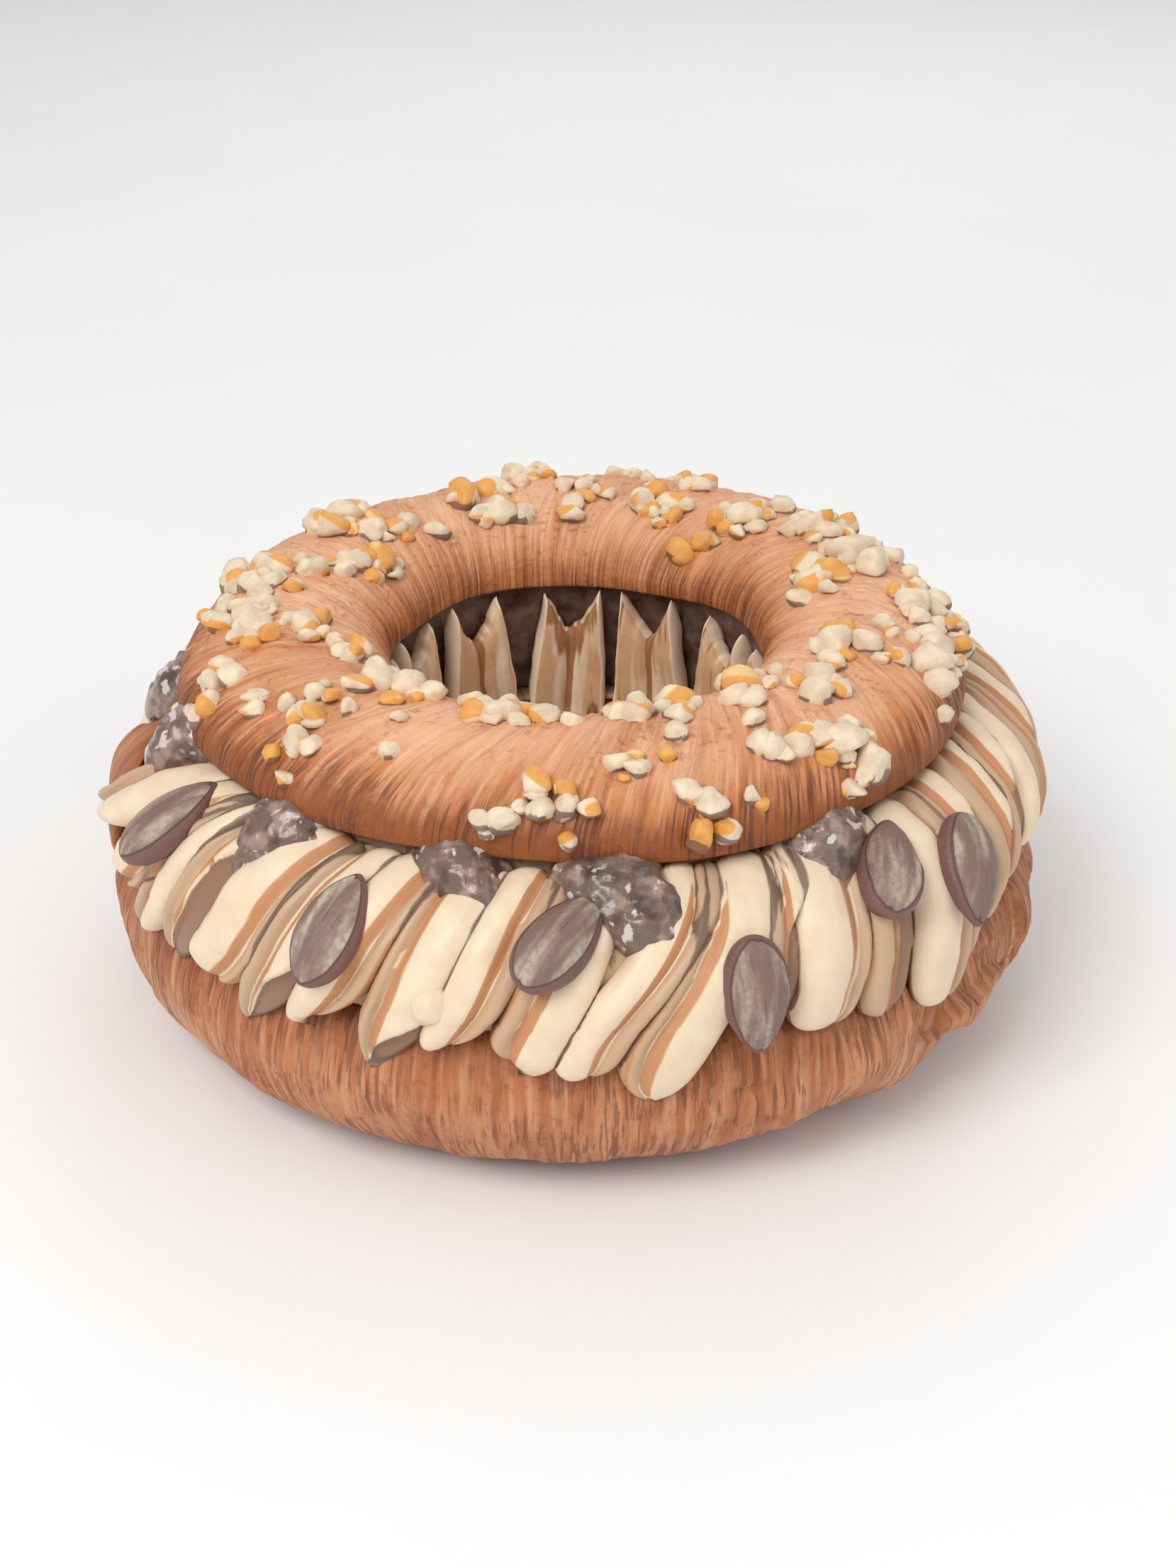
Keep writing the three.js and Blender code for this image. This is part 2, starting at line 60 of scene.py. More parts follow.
Array = np.ndarray
Colour = tuple[float, float, float, float]
Point = tuple[float, float, float]  # x, y and z, or azimuth, radius or height, and a size
Piece = bpy.types.Object


# --- Numbers that look random, and smooth noise ---


def draw(key: Array | float) -> Array:
    """Numbers from 0 to 1 that depend only on their keys: the fraction of a large sine."""
    wave = np.sin(np.asarray(key, float) * DRAW_PACE + DRAW_PHASE) * DRAW_HEIGHT
    return wave - np.floor(wave)


def draw_signed(key: Array | float) -> Array:
    """Numbers from -1 to 1 that depend only on their keys."""
    return 2 * draw(key) - 1


def waver(azimuth: Array, counts: tuple[int, ...], size: float, seed: float) -> Array:
    """Sines round the ring, by waves per turn, each lower and with a phase of its own."""
    return size * sum(np.sin(count * azimuth + TURN * draw(seed + i)) / (1 + 0.5 * i)
                      for i, count in enumerate(counts))


def noise(points: Array, size: float, seed: float) -> Array:
    """Smooth noise: values drawn at the corners of cubic cells, blended by an S curve.

    Args:
        points: array of points, the last axis holding x, y and z.
        size: edge of a cell, in the unit of the points.
        seed: another seed gives other noise.

    Returns:
        A value from -1 to 1 at each point.
    """
    spots = points / size
    cells = np.floor(spots)
    share = step(spots - cells, 0, 1)
    total = np.zeros(points.shape[:-1])
    for corner in np.ndindex(2, 2, 2):
        weight = np.prod(np.where(np.array(corner, bool), share, 1 - share), axis=-1)
        total += weight * draw_signed((cells + corner) @ CELL_KEYS + SEED_KEY * seed)
    return total


def fractal(points: Array, size: float, seed: float, octaves: int = 3) -> Array:
    """Noise at a size, at half that size and so on, each with half the height of the last."""
    return sum(noise(points, size / 2**i, seed + i) / 2**i for i in range(octaves))


def roughened(points: Array, most: float, size: float, seed: float) -> Array:
    """Points moved along the diagonal by fractal noise of a height, a size and a seed."""
    return points + most * fractal(points, size, seed)[..., None]


def step(value: Array, low: float, high: float) -> Array:
    """An S curve that rises from 0 at low to 1 at high."""
    share = np.clip((value - low) / (high - low), 0, 1)
    return share * share * (3 - 2 * share)


def bump(value: Array, middle: float, width: float) -> Array:
    """A bell curve of height 1 about the middle."""
    return np.exp(-(((value - middle) / width) ** 2))


def ring_points(azimuth: Array, radius: Array, height: Array) -> Array:
    """Points at azimuths in radians, radii and heights, as an array with x, y and z last."""
    azimuth, radius, height = np.broadcast_arrays(azimuth, radius, height)
    return np.stack([radius * np.cos(azimuth), radius * np.sin(azimuth), height], axis=-1)


def round_angles(count: int) -> Array:
    """Even angles of a whole turn, in radians."""
    return np.linspace(0, TURN, count, endpoint=False)


def unit_ball(rows: int, columns: int) -> Array:
    """Points of a ball of radius 1, in rows from pole to pole."""
    polar = np.linspace(0, np.pi, rows)[:, None]
    return ring_points(round_angles(columns), np.sin(polar), np.cos(polar))


# --- Closed surfaces ---


@dataclass
class Shell:
    """A closed surface: its points in millimetres, its faces and its values at the points."""

    points: Array
    quads: Array
    triangles: Array
    values: dict[str, Array]


def closed(grid: Array, values: dict[str, Array | float], wrap_rows: bool = False) -> Shell:
    """Closes a grid of points whose columns run round.

    Points that coincide, as at a pole or along a sharp edge, become one, and the faces that
    lose a corner there become triangles. Faces are turned to point outwards, which is where the
    volume that they enclose is above zero.

    Args:
        grid: points of shape rows, columns, 3.
        values: named values, of a shape that spreads over rows and columns.
        wrap_rows: whether the last row joins the first one, as on a ring.

    Returns:
        The closed surface.
    """
    rows, columns = grid.shape[:2]
    flat = grid.reshape(-1, 3)
    keys = np.round(flat / WELD).astype(np.int64)
    _, first, index = np.unique(keys, axis=0, return_index=True, return_inverse=True)
    index = index.reshape(rows, columns)
    here, below = index[:-1], index[1:]
    if wrap_rows:
        here, below = index, np.roll(index, -1, axis=0)
    quads = np.stack([here, np.roll(here, -1, 1), np.roll(below, -1, 1), below], -1)
    quads = quads.reshape(-1, 4)
    same = quads == np.roll(quads, -1, axis=1)
    lost = same.sum(axis=1)
    triangles = quads[lost == 1][~same[lost == 1]].reshape(-1, 3)
    quads = quads[lost == 0]
    points = flat[first]
    a, b, c = np.moveaxis(
        points[np.concatenate([triangles, quads[:, [0, 1, 2]], quads[:, [0, 2, 3]]])], 1, 0)
    if np.einsum("ij,ij->", a, np.cross(b, c)) < 0:
        quads, triangles = quads[:, ::-1], triangles[:, ::-1]
    kept = {key: np.broadcast_to(value, (rows, columns)).ravel()[first]
            for key, value in values.items()}
    return Shell(points, quads, triangles, kept)


def joined(shells: list[Shell]) -> Shell:
    """Makes one surface of several, whose faces keep their own points.

    Args:
        shells: surfaces with values of the same names.

    Returns:
        The surface of them all.
    """
    starts = np.cumsum([0] + [len(shell.points) for shell in shells[:-1]])
    return Shell(
        np.concatenate([shell.points for shell in shells]),
        np.concatenate([shell.quads + start for shell, start in zip(shells, starts)]),
        np.concatenate([shell.triangles + start for shell, start in zip(shells, starts)]),
        {key: np.concatenate([shell.values[key] for shell in shells])
         for key in shells[0].values},
    )


def rounded_outline(corners: list[tuple[float, float]], count: int, radius: float) -> Array:
    """A closed outline with even steps, its corners rounded by a running mean.

    Args:
        corners: radius and height of each corner.
        count: number of points.
        radius: how far the rounding reaches along the outline.

    Returns:
        Array of count points with radius and height last.
    """
    ends = np.array([*corners, corners[0]], float)
    lengths = np.concatenate([[0], np.cumsum(np.hypot(*np.diff(ends, axis=0).T))])
    places = np.linspace(0, lengths[-1], count, endpoint=False)
    outline = np.stack([np.interp(places, lengths, ends[:, k]) for k in range(2)], axis=-1)
    reach = max(1, round(radius * count / lengths[-1]))
    shifts = range(-reach, reach + 1)
    return sum(np.roll(outline, shift, axis=0) for shift in shifts) / len(shifts)


def add_piece(
    name: str, shell: Shell, material: bpy.types.Material, slot: str, *nodes: str
) -> Piece:
    """Makes the piece of a closed surface, at the origin and in metres.

    Args:
        name: name of the piece.
        shell: the surface, each of whose values becomes an attribute of that name.
        material: its finish.
        slot: the slot of that finish; not used.
        *nodes: the solids that the piece stands for.

    Returns:
        The new object, which rides on the pastry.
    """
    mesh = bpy.data.meshes.new(name)
    corners = np.concatenate([shell.quads.ravel(), shell.triangles.ravel()])
    sizes = np.repeat([4, 3], [len(shell.quads), len(shell.triangles)])
    mesh.vertices.add(len(shell.points))
    mesh.vertices.foreach_set("co", (shell.points * MM).astype(np.float32).ravel())
    mesh.loops.add(len(corners))
    mesh.loops.foreach_set("vertex_index", corners.astype(np.int32))
    mesh.polygons.add(len(sizes))
    mesh.polygons.foreach_set("loop_start", (np.cumsum(sizes) - sizes).astype(np.int32))
    mesh.polygons.foreach_set("use_smooth", np.ones(len(sizes), bool))
    mesh.update(calc_edges=True)
    mesh.validate()
    for key, value in shell.values.items():
        attribute = mesh.attributes.new(key, "FLOAT", "POINT")
        attribute.data.foreach_set("value", value.astype(np.float32))
    mesh.materials.append(material)
    piece = bpy.data.objects.new(name, mesh)
    bpy.context.scene.collection.objects.link(piece)
    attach(piece, "root")
    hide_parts(*nodes)
    return piece


# --- Shader nodes and the effects that finishes share ---


def paint(red: int, green: int, blue: int) -> Colour:
    """A colour given from 0 to 255 as it shows, in the linear numbers that shaders take."""
    shown = np.array([red, green, blue]) / 255
    linear = np.where(shown <= 0.04045, shown / 12.92, ((shown + 0.055) / 1.055) ** 2.4)
    return (*(float(value) for value in linear), 1.0)


class Effect(Enum):
    """Effects that several finishes share: what goes into each, and what comes out."""

    PATCHES = ("Place Scale Cover Softness", "Mask")
    RING_STREAKS = ("Place Fineness Radial Upright Swirl Cover Softness", "Mask")
    THREE_TONES = ("Share Light Middle Dark", "Colour")
    SKIN = ("Place Scale Relief Strength", "Normal")


class Nodes:
    """A node tree that short calls fill."""

    def __init__(self, tree: bpy.types.NodeTree) -> None:
        """Takes the tree to fill."""
        self.tree = tree

    def add(self, kind: str, inputs: dict[Any, Any] | None = None, **settings: Any) -> Any:
        """Adds a node.

        Args:
            kind: Blender's name of the node type, without ShaderNode.
            inputs: for input names or numbers, a socket to link or a value to set.
            **settings: properties of the node.

        Returns:
            The node.
        """
        node = self.tree.nodes.new("ShaderNode" + kind)
        for key, value in settings.items():
            setattr(node, key, value)
        for key, value in (inputs or {}).items():
            if isinstance(value, bpy.types.NodeSocket):
                self.tree.links.new(value, node.inputs[key])
            else:
                node.inputs[key].default_value = value
        return node

    def value(self, name: str) -> Any:
        """The values that the mesh holds under a name."""
        return self.add("Attribute", attribute_name=name).outputs["Fac"]

    def place(self) -> Any:
        """The point on the object, in metres."""
        return self.add("TexCoord").outputs["Object"]

    def lane(self) -> Any:
        """The point on a strip, from the mesh's values lane and reach."""
        inputs = {0: self.value("lane"), 1: self.value("reach"), 2: 0.0}
        return self.add("CombineXYZ", inputs).outputs[0]

    def math(self, operation: str, first: Any, *others: Any) -> Any:
        """What an operation makes of numbers, taken from the left."""
        for other in others:
            first = self.add("Math", {0: first, 1: other}, operation=operation).outputs[0]
        return first

    def times(self, *values: Any) -> Any:
        """The product of numbers."""
        return self.math("MULTIPLY", *values)

    def plus(self, *values: Any) -> Any:
        """The sum of numbers."""
        return self.math("ADD", *values)

    def minus(self, *values: Any) -> Any:
        """The first number less the others."""
        return self.math("SUBTRACT", *values)

    def largest(self, *values: Any) -> Any:
        """The largest of numbers."""
        return self.math("MAXIMUM", *values)

    def vectors(self, operation: str, inputs: dict[Any, Any], output: Any = 0) -> Any:
        """What an operation makes of vectors."""
        return self.add("VectorMath", inputs, operation=operation).outputs[output]

    def mix(self, share: Any, first: Any, second: Any) -> Any:
        """A colour that goes from the first to the second as the share goes from 0 to 1."""
        node = self.add("Mix", {0: share, 6: first, 7: second}, data_type="RGBA")
        return node.outputs[2]

    def coated(self, colour: Any, *coats: tuple[Any, Any]) -> Any:
        """A colour under coats, each with the share that it covers and its own colour."""
        for share, coat in coats:
            colour = self.mix(share, colour, coat)
        return colour

    def rise(self, value: Any, low: Any, high: Any, most: float = 1.0) -> Any:
        """An S curve of a value, from 0 at low to most at high."""
        inputs = {"Value": value, "From Min": low, "From Max": high, "To Max": most}
        return self.add("MapRange", inputs, interpolation_type="SMOOTHSTEP").outputs["Result"]

    def use(self, effect: Effect, *inputs: Any) -> Any:
        """What a shared effect gives out for its inputs, in the order that Effect has them."""
        node = self.add("Group", dict(enumerate(inputs)), node_tree=Effects.group(effect))
        return node.outputs[0]

    def patches(self, place: Any, scale: Any, cover: Any, softness: Any) -> Any:
        """A mask of patches that cover about a share of the surface."""
        return self.use(Effect.PATCHES, place, scale, cover, softness)

    def skin(self, place: Any, scale: float, relief: Any, strength: float) -> Any:
        """Normals of a fine grain added to a relief."""
        return self.use(Effect.SKIN, place, scale, relief, strength)

    def surface(self, colour: Any, roughness: Any, more: dict[str, Any]) -> None:
        """Ends the tree in a Principled shader of a colour, a roughness and more inputs."""
        inputs = {"Base Color": colour, "Roughness": roughness, **more}
        self.add("OutputMaterial", {"Surface": self.add("BsdfPrincipled", inputs).outputs[0]})


class Effects:
    """The shared node groups, each built once. Sockets are numbers, apart from these."""

    KINDS: dict[str, str] = {
        **dict.fromkeys(("Place", "Normal"), "NodeSocketVector"),
        **dict.fromkeys(("Light", "Middle", "Dark", "Colour"), "NodeSocketColor"),
    }

    @classmethod
    def group(cls, effect: Effect) -> bpy.types.NodeTree:
        """Finds the group of an effect, or builds it when it is first asked for.

        Args:
            effect: the effect.

        Returns:
            Its node group.
        """
        title = effect.name.lower()
        tree = bpy.data.node_groups.get(title)
        if tree is None:
            tree = bpy.data.node_groups.new(title, "ShaderNodeTree")
            for side, names in zip(("INPUT", "OUTPUT"), effect.value):
                for name in names.split():
                    kind = cls.KINDS.get(name, "NodeSocketFloat")
                    tree.interface.new_socket(name=name, in_out=side, socket_type=kind)
            fill = {Effect.PATCHES: cls._patches, Effect.RING_STREAKS: cls._ring_streaks,
                    Effect.THREE_TONES: cls._three_tones, Effect.SKIN: cls._skin}[effect]
            result = fill(Nodes(tree), tree.nodes.new("NodeGroupInput").outputs)
            tree.links.new(result, tree.nodes.new("NodeGroupOutput").inputs[0])
        return tree

    @staticmethod
    def _patches(nodes: Nodes, given: Any) -> Any:
        """Noise cut off at a level, so that it covers about that share of the surface.

        Args:
            nodes: the group's tree.
            given: the sockets of its inputs.

        Returns:
            The socket of its output, as for the other effects.
        """
        inputs = {"Vector": given["Place"], "Scale": given["Scale"], "Detail": 3.0}
        cloud = nodes.add("TexNoise", inputs).outputs["Fac"]
        level = nodes.minus(1.0, given["Cover"])
        low, high = (edge(level, given["Softness"]) for edge in (nodes.minus, nodes.plus))
        return nodes.rise(cloud, low, high)

    @staticmethod
    def _ring_streaks(nodes: Nodes, given: Any) -> Any:
        """Fine streaks from the hole to the rim.

        Noise is read at the place on a circle of one metre that has the point's azimuth, so
        that it changes fast round the ring and slowly along the streak. The azimuth turns a
        little with the radius, by the swirl.
        """
        flat = nodes.vectors("MULTIPLY", {0: given["Place"], 1: (1.0, 1.0, 0.0)})
        radius = nodes.vectors("LENGTH", {0: flat}, "Value")
        circle = nodes.vectors("NORMALIZE", {0: flat})
        inputs = {"Vector": circle, "Angle": nodes.times(radius, given["Swirl"])}
        turned = nodes.add("VectorRotate", inputs, rotation_type="Z_AXIS").outputs[0]
        wide = nodes.vectors("SCALE", {0: turned, "Scale": given["Fineness"]})
        height = nodes.add("SeparateXYZ", {0: given["Place"]}).outputs[2]
        rise = nodes.plus(nodes.times(radius, given["Radial"]),
                          nodes.times(height, given["Upright"]))
        along = nodes.add("CombineXYZ", {2: rise}).outputs[0]
        spot = nodes.vectors("ADD", {0: wide, 1: along})
        return nodes.patches(spot, 1.0, given["Cover"], given["Softness"])

    @staticmethod
    def _three_tones(nodes: Nodes, given: Any) -> Any:
        """Light at a share of 0, middle at a half and dark at 1, in even steps between."""
        lower = nodes.times(given["Share"], 2.0)
        upper = nodes.minus(lower, 1.0)
        return nodes.coated(given["Light"], (lower, given["Middle"]), (upper, given["Dark"]))

    @staticmethod
    def _skin(nodes: Nodes, given: Any) -> Any:
        """Normals of a fine grain added to a relief."""
        inputs = {"Vector": given["Place"], "Scale": given["Scale"], "Detail": 4.0}
        height = nodes.plus(nodes.add("TexNoise", inputs).outputs["Fac"], given["Relief"])
        inputs = {"Strength": given["Strength"], "Distance": GRAIN_DEPTH, "Height": height}
        return nodes.add("Bump", inputs).outputs[0]


# --- Finishes ---


@dataclass(frozen=True)
class Finish:
    """A look, under the name of its material."""

    name: str

    def material(self) -> bpy.types.Material:
        """Makes the material of the finish.

        Returns:
            The new node material.
        """
        material = bpy.data.materials.new(self.name)
        material.use_nodes = True
        material.node_tree.nodes.clear()
        self.dress(Nodes(material.node_tree))
        return material

    def dress(self, nodes: Nodes) -> None:
        """Fills the material's tree."""
        raise NotImplementedError


@dataclass(frozen=True)
class CrustFinish(Finish):
    """Baked choux: peach to brown, with dark streaks from the hole to the rim.

    The streaks are as fine as fineness says and come in where the crust is browner than the
    onset. They run outwards by radial, upwards by upright, and turn with the swirl. Veins are
    long ones on the palest crust. The tones mix baked colour with painted shade, and with a
    painted highlight on the lid's crown.
    """

    light: Colour
    middle: Colour
    dark: Colour
    pale: Colour
    streak: Colour
    fineness: float
    onset: float
    strength: float
    radial: float = 0.0
    upright: float = 0.0
    swirl: float = 0.0
    veins: float = 0.0

    def streaks(self, nodes: Nodes, cover: float, softness: float, fine: float = 1.0,
                along: float = 1.0, turned: float = 1.0) -> Any:
        """Makes a mask of streaks.

        Args:
            nodes: the tree to fill.
            cover: share of the crust under them.
            softness: of their edges.
            fine: their fineness, as a share of the finish's.
            along: how fast they change outwards and upwards, as a share of the finish's.
            turned: their swirl, as a share of the finish's.

        Returns:
            The socket of the mask.
        """
        return nodes.use(
            Effect.RING_STREAKS, nodes.place(), fine * self.fineness, along * self.radial,
            along * self.upright, turned * self.swirl, cover, softness,
        )

    def dress(self, nodes: Nodes) -> None:
        """Fills the tree, which reads the mesh's values browned and torn."""
        place, browned_and_shaded = nodes.place(), nodes.value("browned_and_shaded")
        whole = nodes.minus(1.0, nodes.value("torn"))
        cloud = nodes.patches(place, scale=70.0, cover=0.5, softness=0.2)
        bands = nodes.times(self.streaks(nodes, 0.46, 0.12, fine=0.28), whole,
                            nodes.rise(browned_and_shaded, self.onset - 0.2, self.onset + 0.4, 0.36))
        # The crust's tones are baked colour with painted shade, and a painted highlight on the
        # lid's crown.
        share = nodes.plus(browned_and_shaded, nodes.times(cloud, 0.16), bands)
        colour = nodes.use(Effect.THREE_TONES, share, self.light, self.middle, self.dark)
        pale = nodes.times(self.streaks(nodes, 0.42, 0.12, fine=0.6), whole,
                           nodes.rise(browned_and_shaded, 1.1, 0.3, 0.4))
        broken = nodes.patches(place, scale=95.0, cover=0.56, softness=0.12)
        lines = nodes.times(self.streaks(nodes, 0.45, 0.04, along=2.4), broken,
                            nodes.rise(browned_and_shaded, self.onset, self.onset + 0.6, self.strength))
        grains = nodes.patches(place, scale=620.0, cover=0.4, softness=0.06)
        veins = nodes.times(self.streaks(nodes, 0.4, 0.03, fine=0.5, along=0.4, turned=1.4),
                            nodes.rise(browned_and_shaded, 0.7, 0.2, self.veins))
        marks = nodes.largest(lines, nodes.times(grains, cloud, 0.42), veins)
        marks = nodes.times(marks, whole)
        colour = nodes.coated(colour, (pale, self.pale), (marks, self.streak))
        relief = nodes.times(marks, -0.6)
        nodes.surface(colour, nodes.plus(nodes.times(marks, 0.2), 0.5), {
            "Normal": nodes.skin(place, scale=800.0, relief=relief, strength=0.6),
            "Specular IOR Level": 0.35,
        })


@dataclass(frozen=True)
class CreamFinish(Finish):
    """Piped cream: pale, with painted shade: tan, orange-brown in creases, dark between ribbons."""

    light: Colour
    shade: Colour
    crease_shade_and_caramel: Colour
    deep_shade_and_mottle: Colour
    crevice_shade: Colour

    def dress(self, nodes: Nodes) -> None:
        """Fills the tree, which reads shade, caramel, deep, seam, lane and reach."""
        cloud = nodes.patches(nodes.place(), scale=160.0, cover=0.5, softness=0.25)
        wisps = nodes.patches(nodes.lane(), scale=1.0, cover=0.42, softness=0.12)
        uneven = nodes.times(nodes.minus(wisps, 0.5), 0.35)
        levels = (("shade", 0.35, 1.0), ("crease_shade_and_caramel", 0.4, 0.95), ("deep_shade_and_mottle", 0.4, 1.0))
        tan, edge, dark = (
            nodes.rise(nodes.plus(nodes.value(name), uneven), low, 0.65, most)
            for name, low, most in levels
        )
        crevice_shade = nodes.rise(nodes.value("crevice_shade"), 0.2, 0.9, 0.85)
        # These coats are painted shade: tan, orange-brown in creases, brown in hollows, dark in
        # crevices.
        colour = nodes.coated(
            self.light, (nodes.times(cloud, 0.25), self.shade), (tan, self.shade),
            (edge, self.crease_shade_and_caramel), (dark, self.deep_shade_and_mottle), (crevice_shade, self.crevice_shade),
        )
        relief = nodes.times(wisps, 0.4)
        nodes.surface(colour, nodes.plus(nodes.times(edge, 0.1), 0.42), {
            "Normal": nodes.skin(nodes.place(), scale=500.0, relief=relief, strength=0.25),
            "Subsurface Weight": 0.1,
            "Subsurface Radius": (1.0, 0.6, 0.35),
            "Subsurface Scale": 0.0015,
        })


@dataclass(frozen=True)
class PralineFinish(Finish):
    """Dark nut paste with a wet gloss, paler patches that are partly painted sheen, and painted
    highlights.
    """

    base: Colour
    smear_and_sheen: Colour
    dark: Colour
    painted_highlight: Colour
    painted_highlight_share: float

    def dress(self, nodes: Nodes) -> None:
        """Fills the tree."""
        place = nodes.place()
        smears_and_sheen = nodes.patches(place, scale=230.0, cover=0.45, softness=0.07)
        pools = nodes.patches(place, scale=150.0, cover=0.44, softness=0.08)
        # Small pale spots of painted highlight on the lumps.
        painted_highlights = nodes.patches(place, scale=240.0, cover=0.37, softness=0.02)
        colour = nodes.coated(
            self.base, (nodes.times(smears_and_sheen, 0.75), self.smear_and_sheen),
            (nodes.times(pools, 0.7), self.dark),
            (nodes.times(painted_highlights, self.painted_highlight_share), self.painted_highlight),
        )
        nodes.surface(colour, nodes.plus(nodes.times(smears_and_sheen, 0.12), 0.16), {
            "Normal": nodes.skin(place, scale=330.0, relief=0.0, strength=0.9),
            "Coat Weight": 0.35,
            "Coat Roughness": 0.15,
        })


@dataclass(frozen=True)
class AlmondFinish(Finish):
    """Almond skin: a mauve rim, a dark line round the face, pale dust and painted sheen on it."""

    rim: Colour
    face: Colour
    bloom_and_sheen: Colour
    line: Colour

    def dress(self, nodes: Nodes) -> None:
        """Fills the tree, which reads the mesh's values face, lane and reach."""
        lane, face = nodes.lane(), nodes.value("face")
        lines = nodes.patches(lane, scale=2.2, cover=0.34, softness=0.03)
        grain = nodes.patches(nodes.place(), scale=800.0, cover=0.5, softness=0.12)
        open_face = nodes.rise(face, 0.45, 0.6)
        bloom_and_sheen = nodes.times(nodes.patches(lane, scale=0.8, cover=0.46, softness=0.12),
                            nodes.minus(1.0, nodes.times(grain, 0.45)), open_face)
        contour = nodes.times(nodes.rise(face, 0.42, 0.47), nodes.rise(face, 0.55, 0.5, 0.75))
        dark = nodes.largest(nodes.times(lines, 0.25), contour)
        # The rim is darker than the face as painted shade at the almond's edges; the pale patches
        # are partly painted sheen.
        colour = nodes.coated(
            self.rim, (open_face, self.face), (bloom_and_sheen, self.bloom_and_sheen), (dark, self.line))
        relief = nodes.times(dark, -1.0)
        nodes.surface(colour, nodes.plus(nodes.times(bloom_and_sheen, 0.2), 0.5), {
            "Normal": nodes.skin(nodes.place(), scale=900.0, relief=relief, strength=0.5),
        })


@dataclass(frozen=True)
class NutFinish(Finish):
    """Chopped nuts: pale flesh, golden patches partly painted light, painted shadow underneath."""

    flesh: Colour
    shadow: Colour
    golden: Colour
    skin: Colour

    def dress(self, nodes: Nodes) -> None:
        """Fills the tree, which reads the mesh's values golden and skin."""
        place = nodes.place()
        cloud = nodes.patches(place, scale=260.0, cover=0.5, softness=0.15)
        golden = nodes.rise(nodes.value("golden"), 0.35, 0.5, 0.95)
        # The skin coat is painted shadow on the undersides of the chips.
        skin = nodes.rise(nodes.value("skin"), 0.3, 0.7, 0.85)
        colour = nodes.coated(self.flesh, (nodes.times(cloud, 0.7), self.shadow),
                              (golden, self.golden), (skin, self.skin))
        nodes.surface(colour, nodes.minus(0.6, nodes.times(golden, 0.2)), {
            "Normal": nodes.skin(place, scale=1100.0, relief=0.0, strength=0.35),
        })


@dataclass(frozen=True)
class FloorFinish(Finish):
    """A plain pale floor with the faint unevenness of paper."""

    colour: Colour
    shade: Colour

    def dress(self, nodes: Nodes) -> None:
        """Fills the tree."""
        cloud = nodes.patches(nodes.place(), scale=9.0, cover=0.5, softness=0.3)
        nodes.surface(nodes.mix(nodes.times(cloud, 0.3), self.colour, self.shade), 0.8, {})


# --- The two halves of the choux bun ---


@dataclass(frozen=True)
class ChouxHalf:
    """Half a bun: an ellipse carried round the axis and cut flat below and above."""

    middle: float
    half_width: float
    belly: float
    half_height: float
    floor: float
    cut: float
    finish: CrustFinish
    edge: float = 1.0
    around: int = 860
    section: int = 110
    floor_fade: float = 4.0
    cut_fade: float = 3.0
    ridge: float = 0.3
    ridge_circle: float = 62.0
    lumps: float = 0.5
    seed: float = 3.0

    def relief(self, azimuth: Array, across: Array, height: Array) -> Array:
        """How far the crust stands out at an azimuth in radians."""
        raise NotImplementedError

    def browned_and_shaded(self, angle: Array) -> Array:
        """How dark the crust is at an angle of the section, from 0 to 1: baked brown with painted
        shade.
        """
        raise NotImplementedError

    def ring(self) -> Shell:
        """Makes the crust all round.

        The section is middle plus half width times the cosine, and belly plus half height times
        the sine, with soft limits at the floor and the cut. Fine ridges run from the hole to
        the rim: noise on a wide circle, so that it changes fast round the ring. Lumps and
        ridges fade out on the flat faces.

        Returns:
            The closed surface with values for how dark it is, baked brown with painted shade.
        """
        azimuth, angle = np.broadcast_arrays(
            round_angles(self.around)[:, None], round_angles(self.section)[None, :])
        across, up = np.cos(angle), np.sin(angle)
        height = self.belly + self.half_height * up
        height = self.floor + self.edge * np.logaddexp(0, (height - self.floor) / self.edge)
        height = self.cut - self.edge * np.logaddexp(0, (self.cut - height) / self.edge)
        radius = self.middle + self.half_width * across + self.relief(azimuth, across, height)
        smooth = ring_points(azimuth, radius, height)
        crust = (step(height, self.floor, self.floor + self.floor_fade)
                 * step(-height, -self.cut, self.cut_fade - self.cut))
        circle = ring_points(azimuth, self.ridge_circle, angle * 2.2)
        ridges = noise(circle, 1.0, self.seed) + 0.6 * noise(circle, 2.7, self.seed + 1)
        fine = crust * (self.ridge * ridges + self.lumps * fractal(smooth, 12.0, self.seed + 2))
        grid = ring_points(azimuth, radius + fine * across, height + fine * up)
        brown = self.browned_and_shaded(angle) + 0.12 * fractal(smooth, 30.0, self.seed + 9)
        return closed(grid, {"browned_and_shaded": brown, "torn": 0.0}, wrap_rows=True)


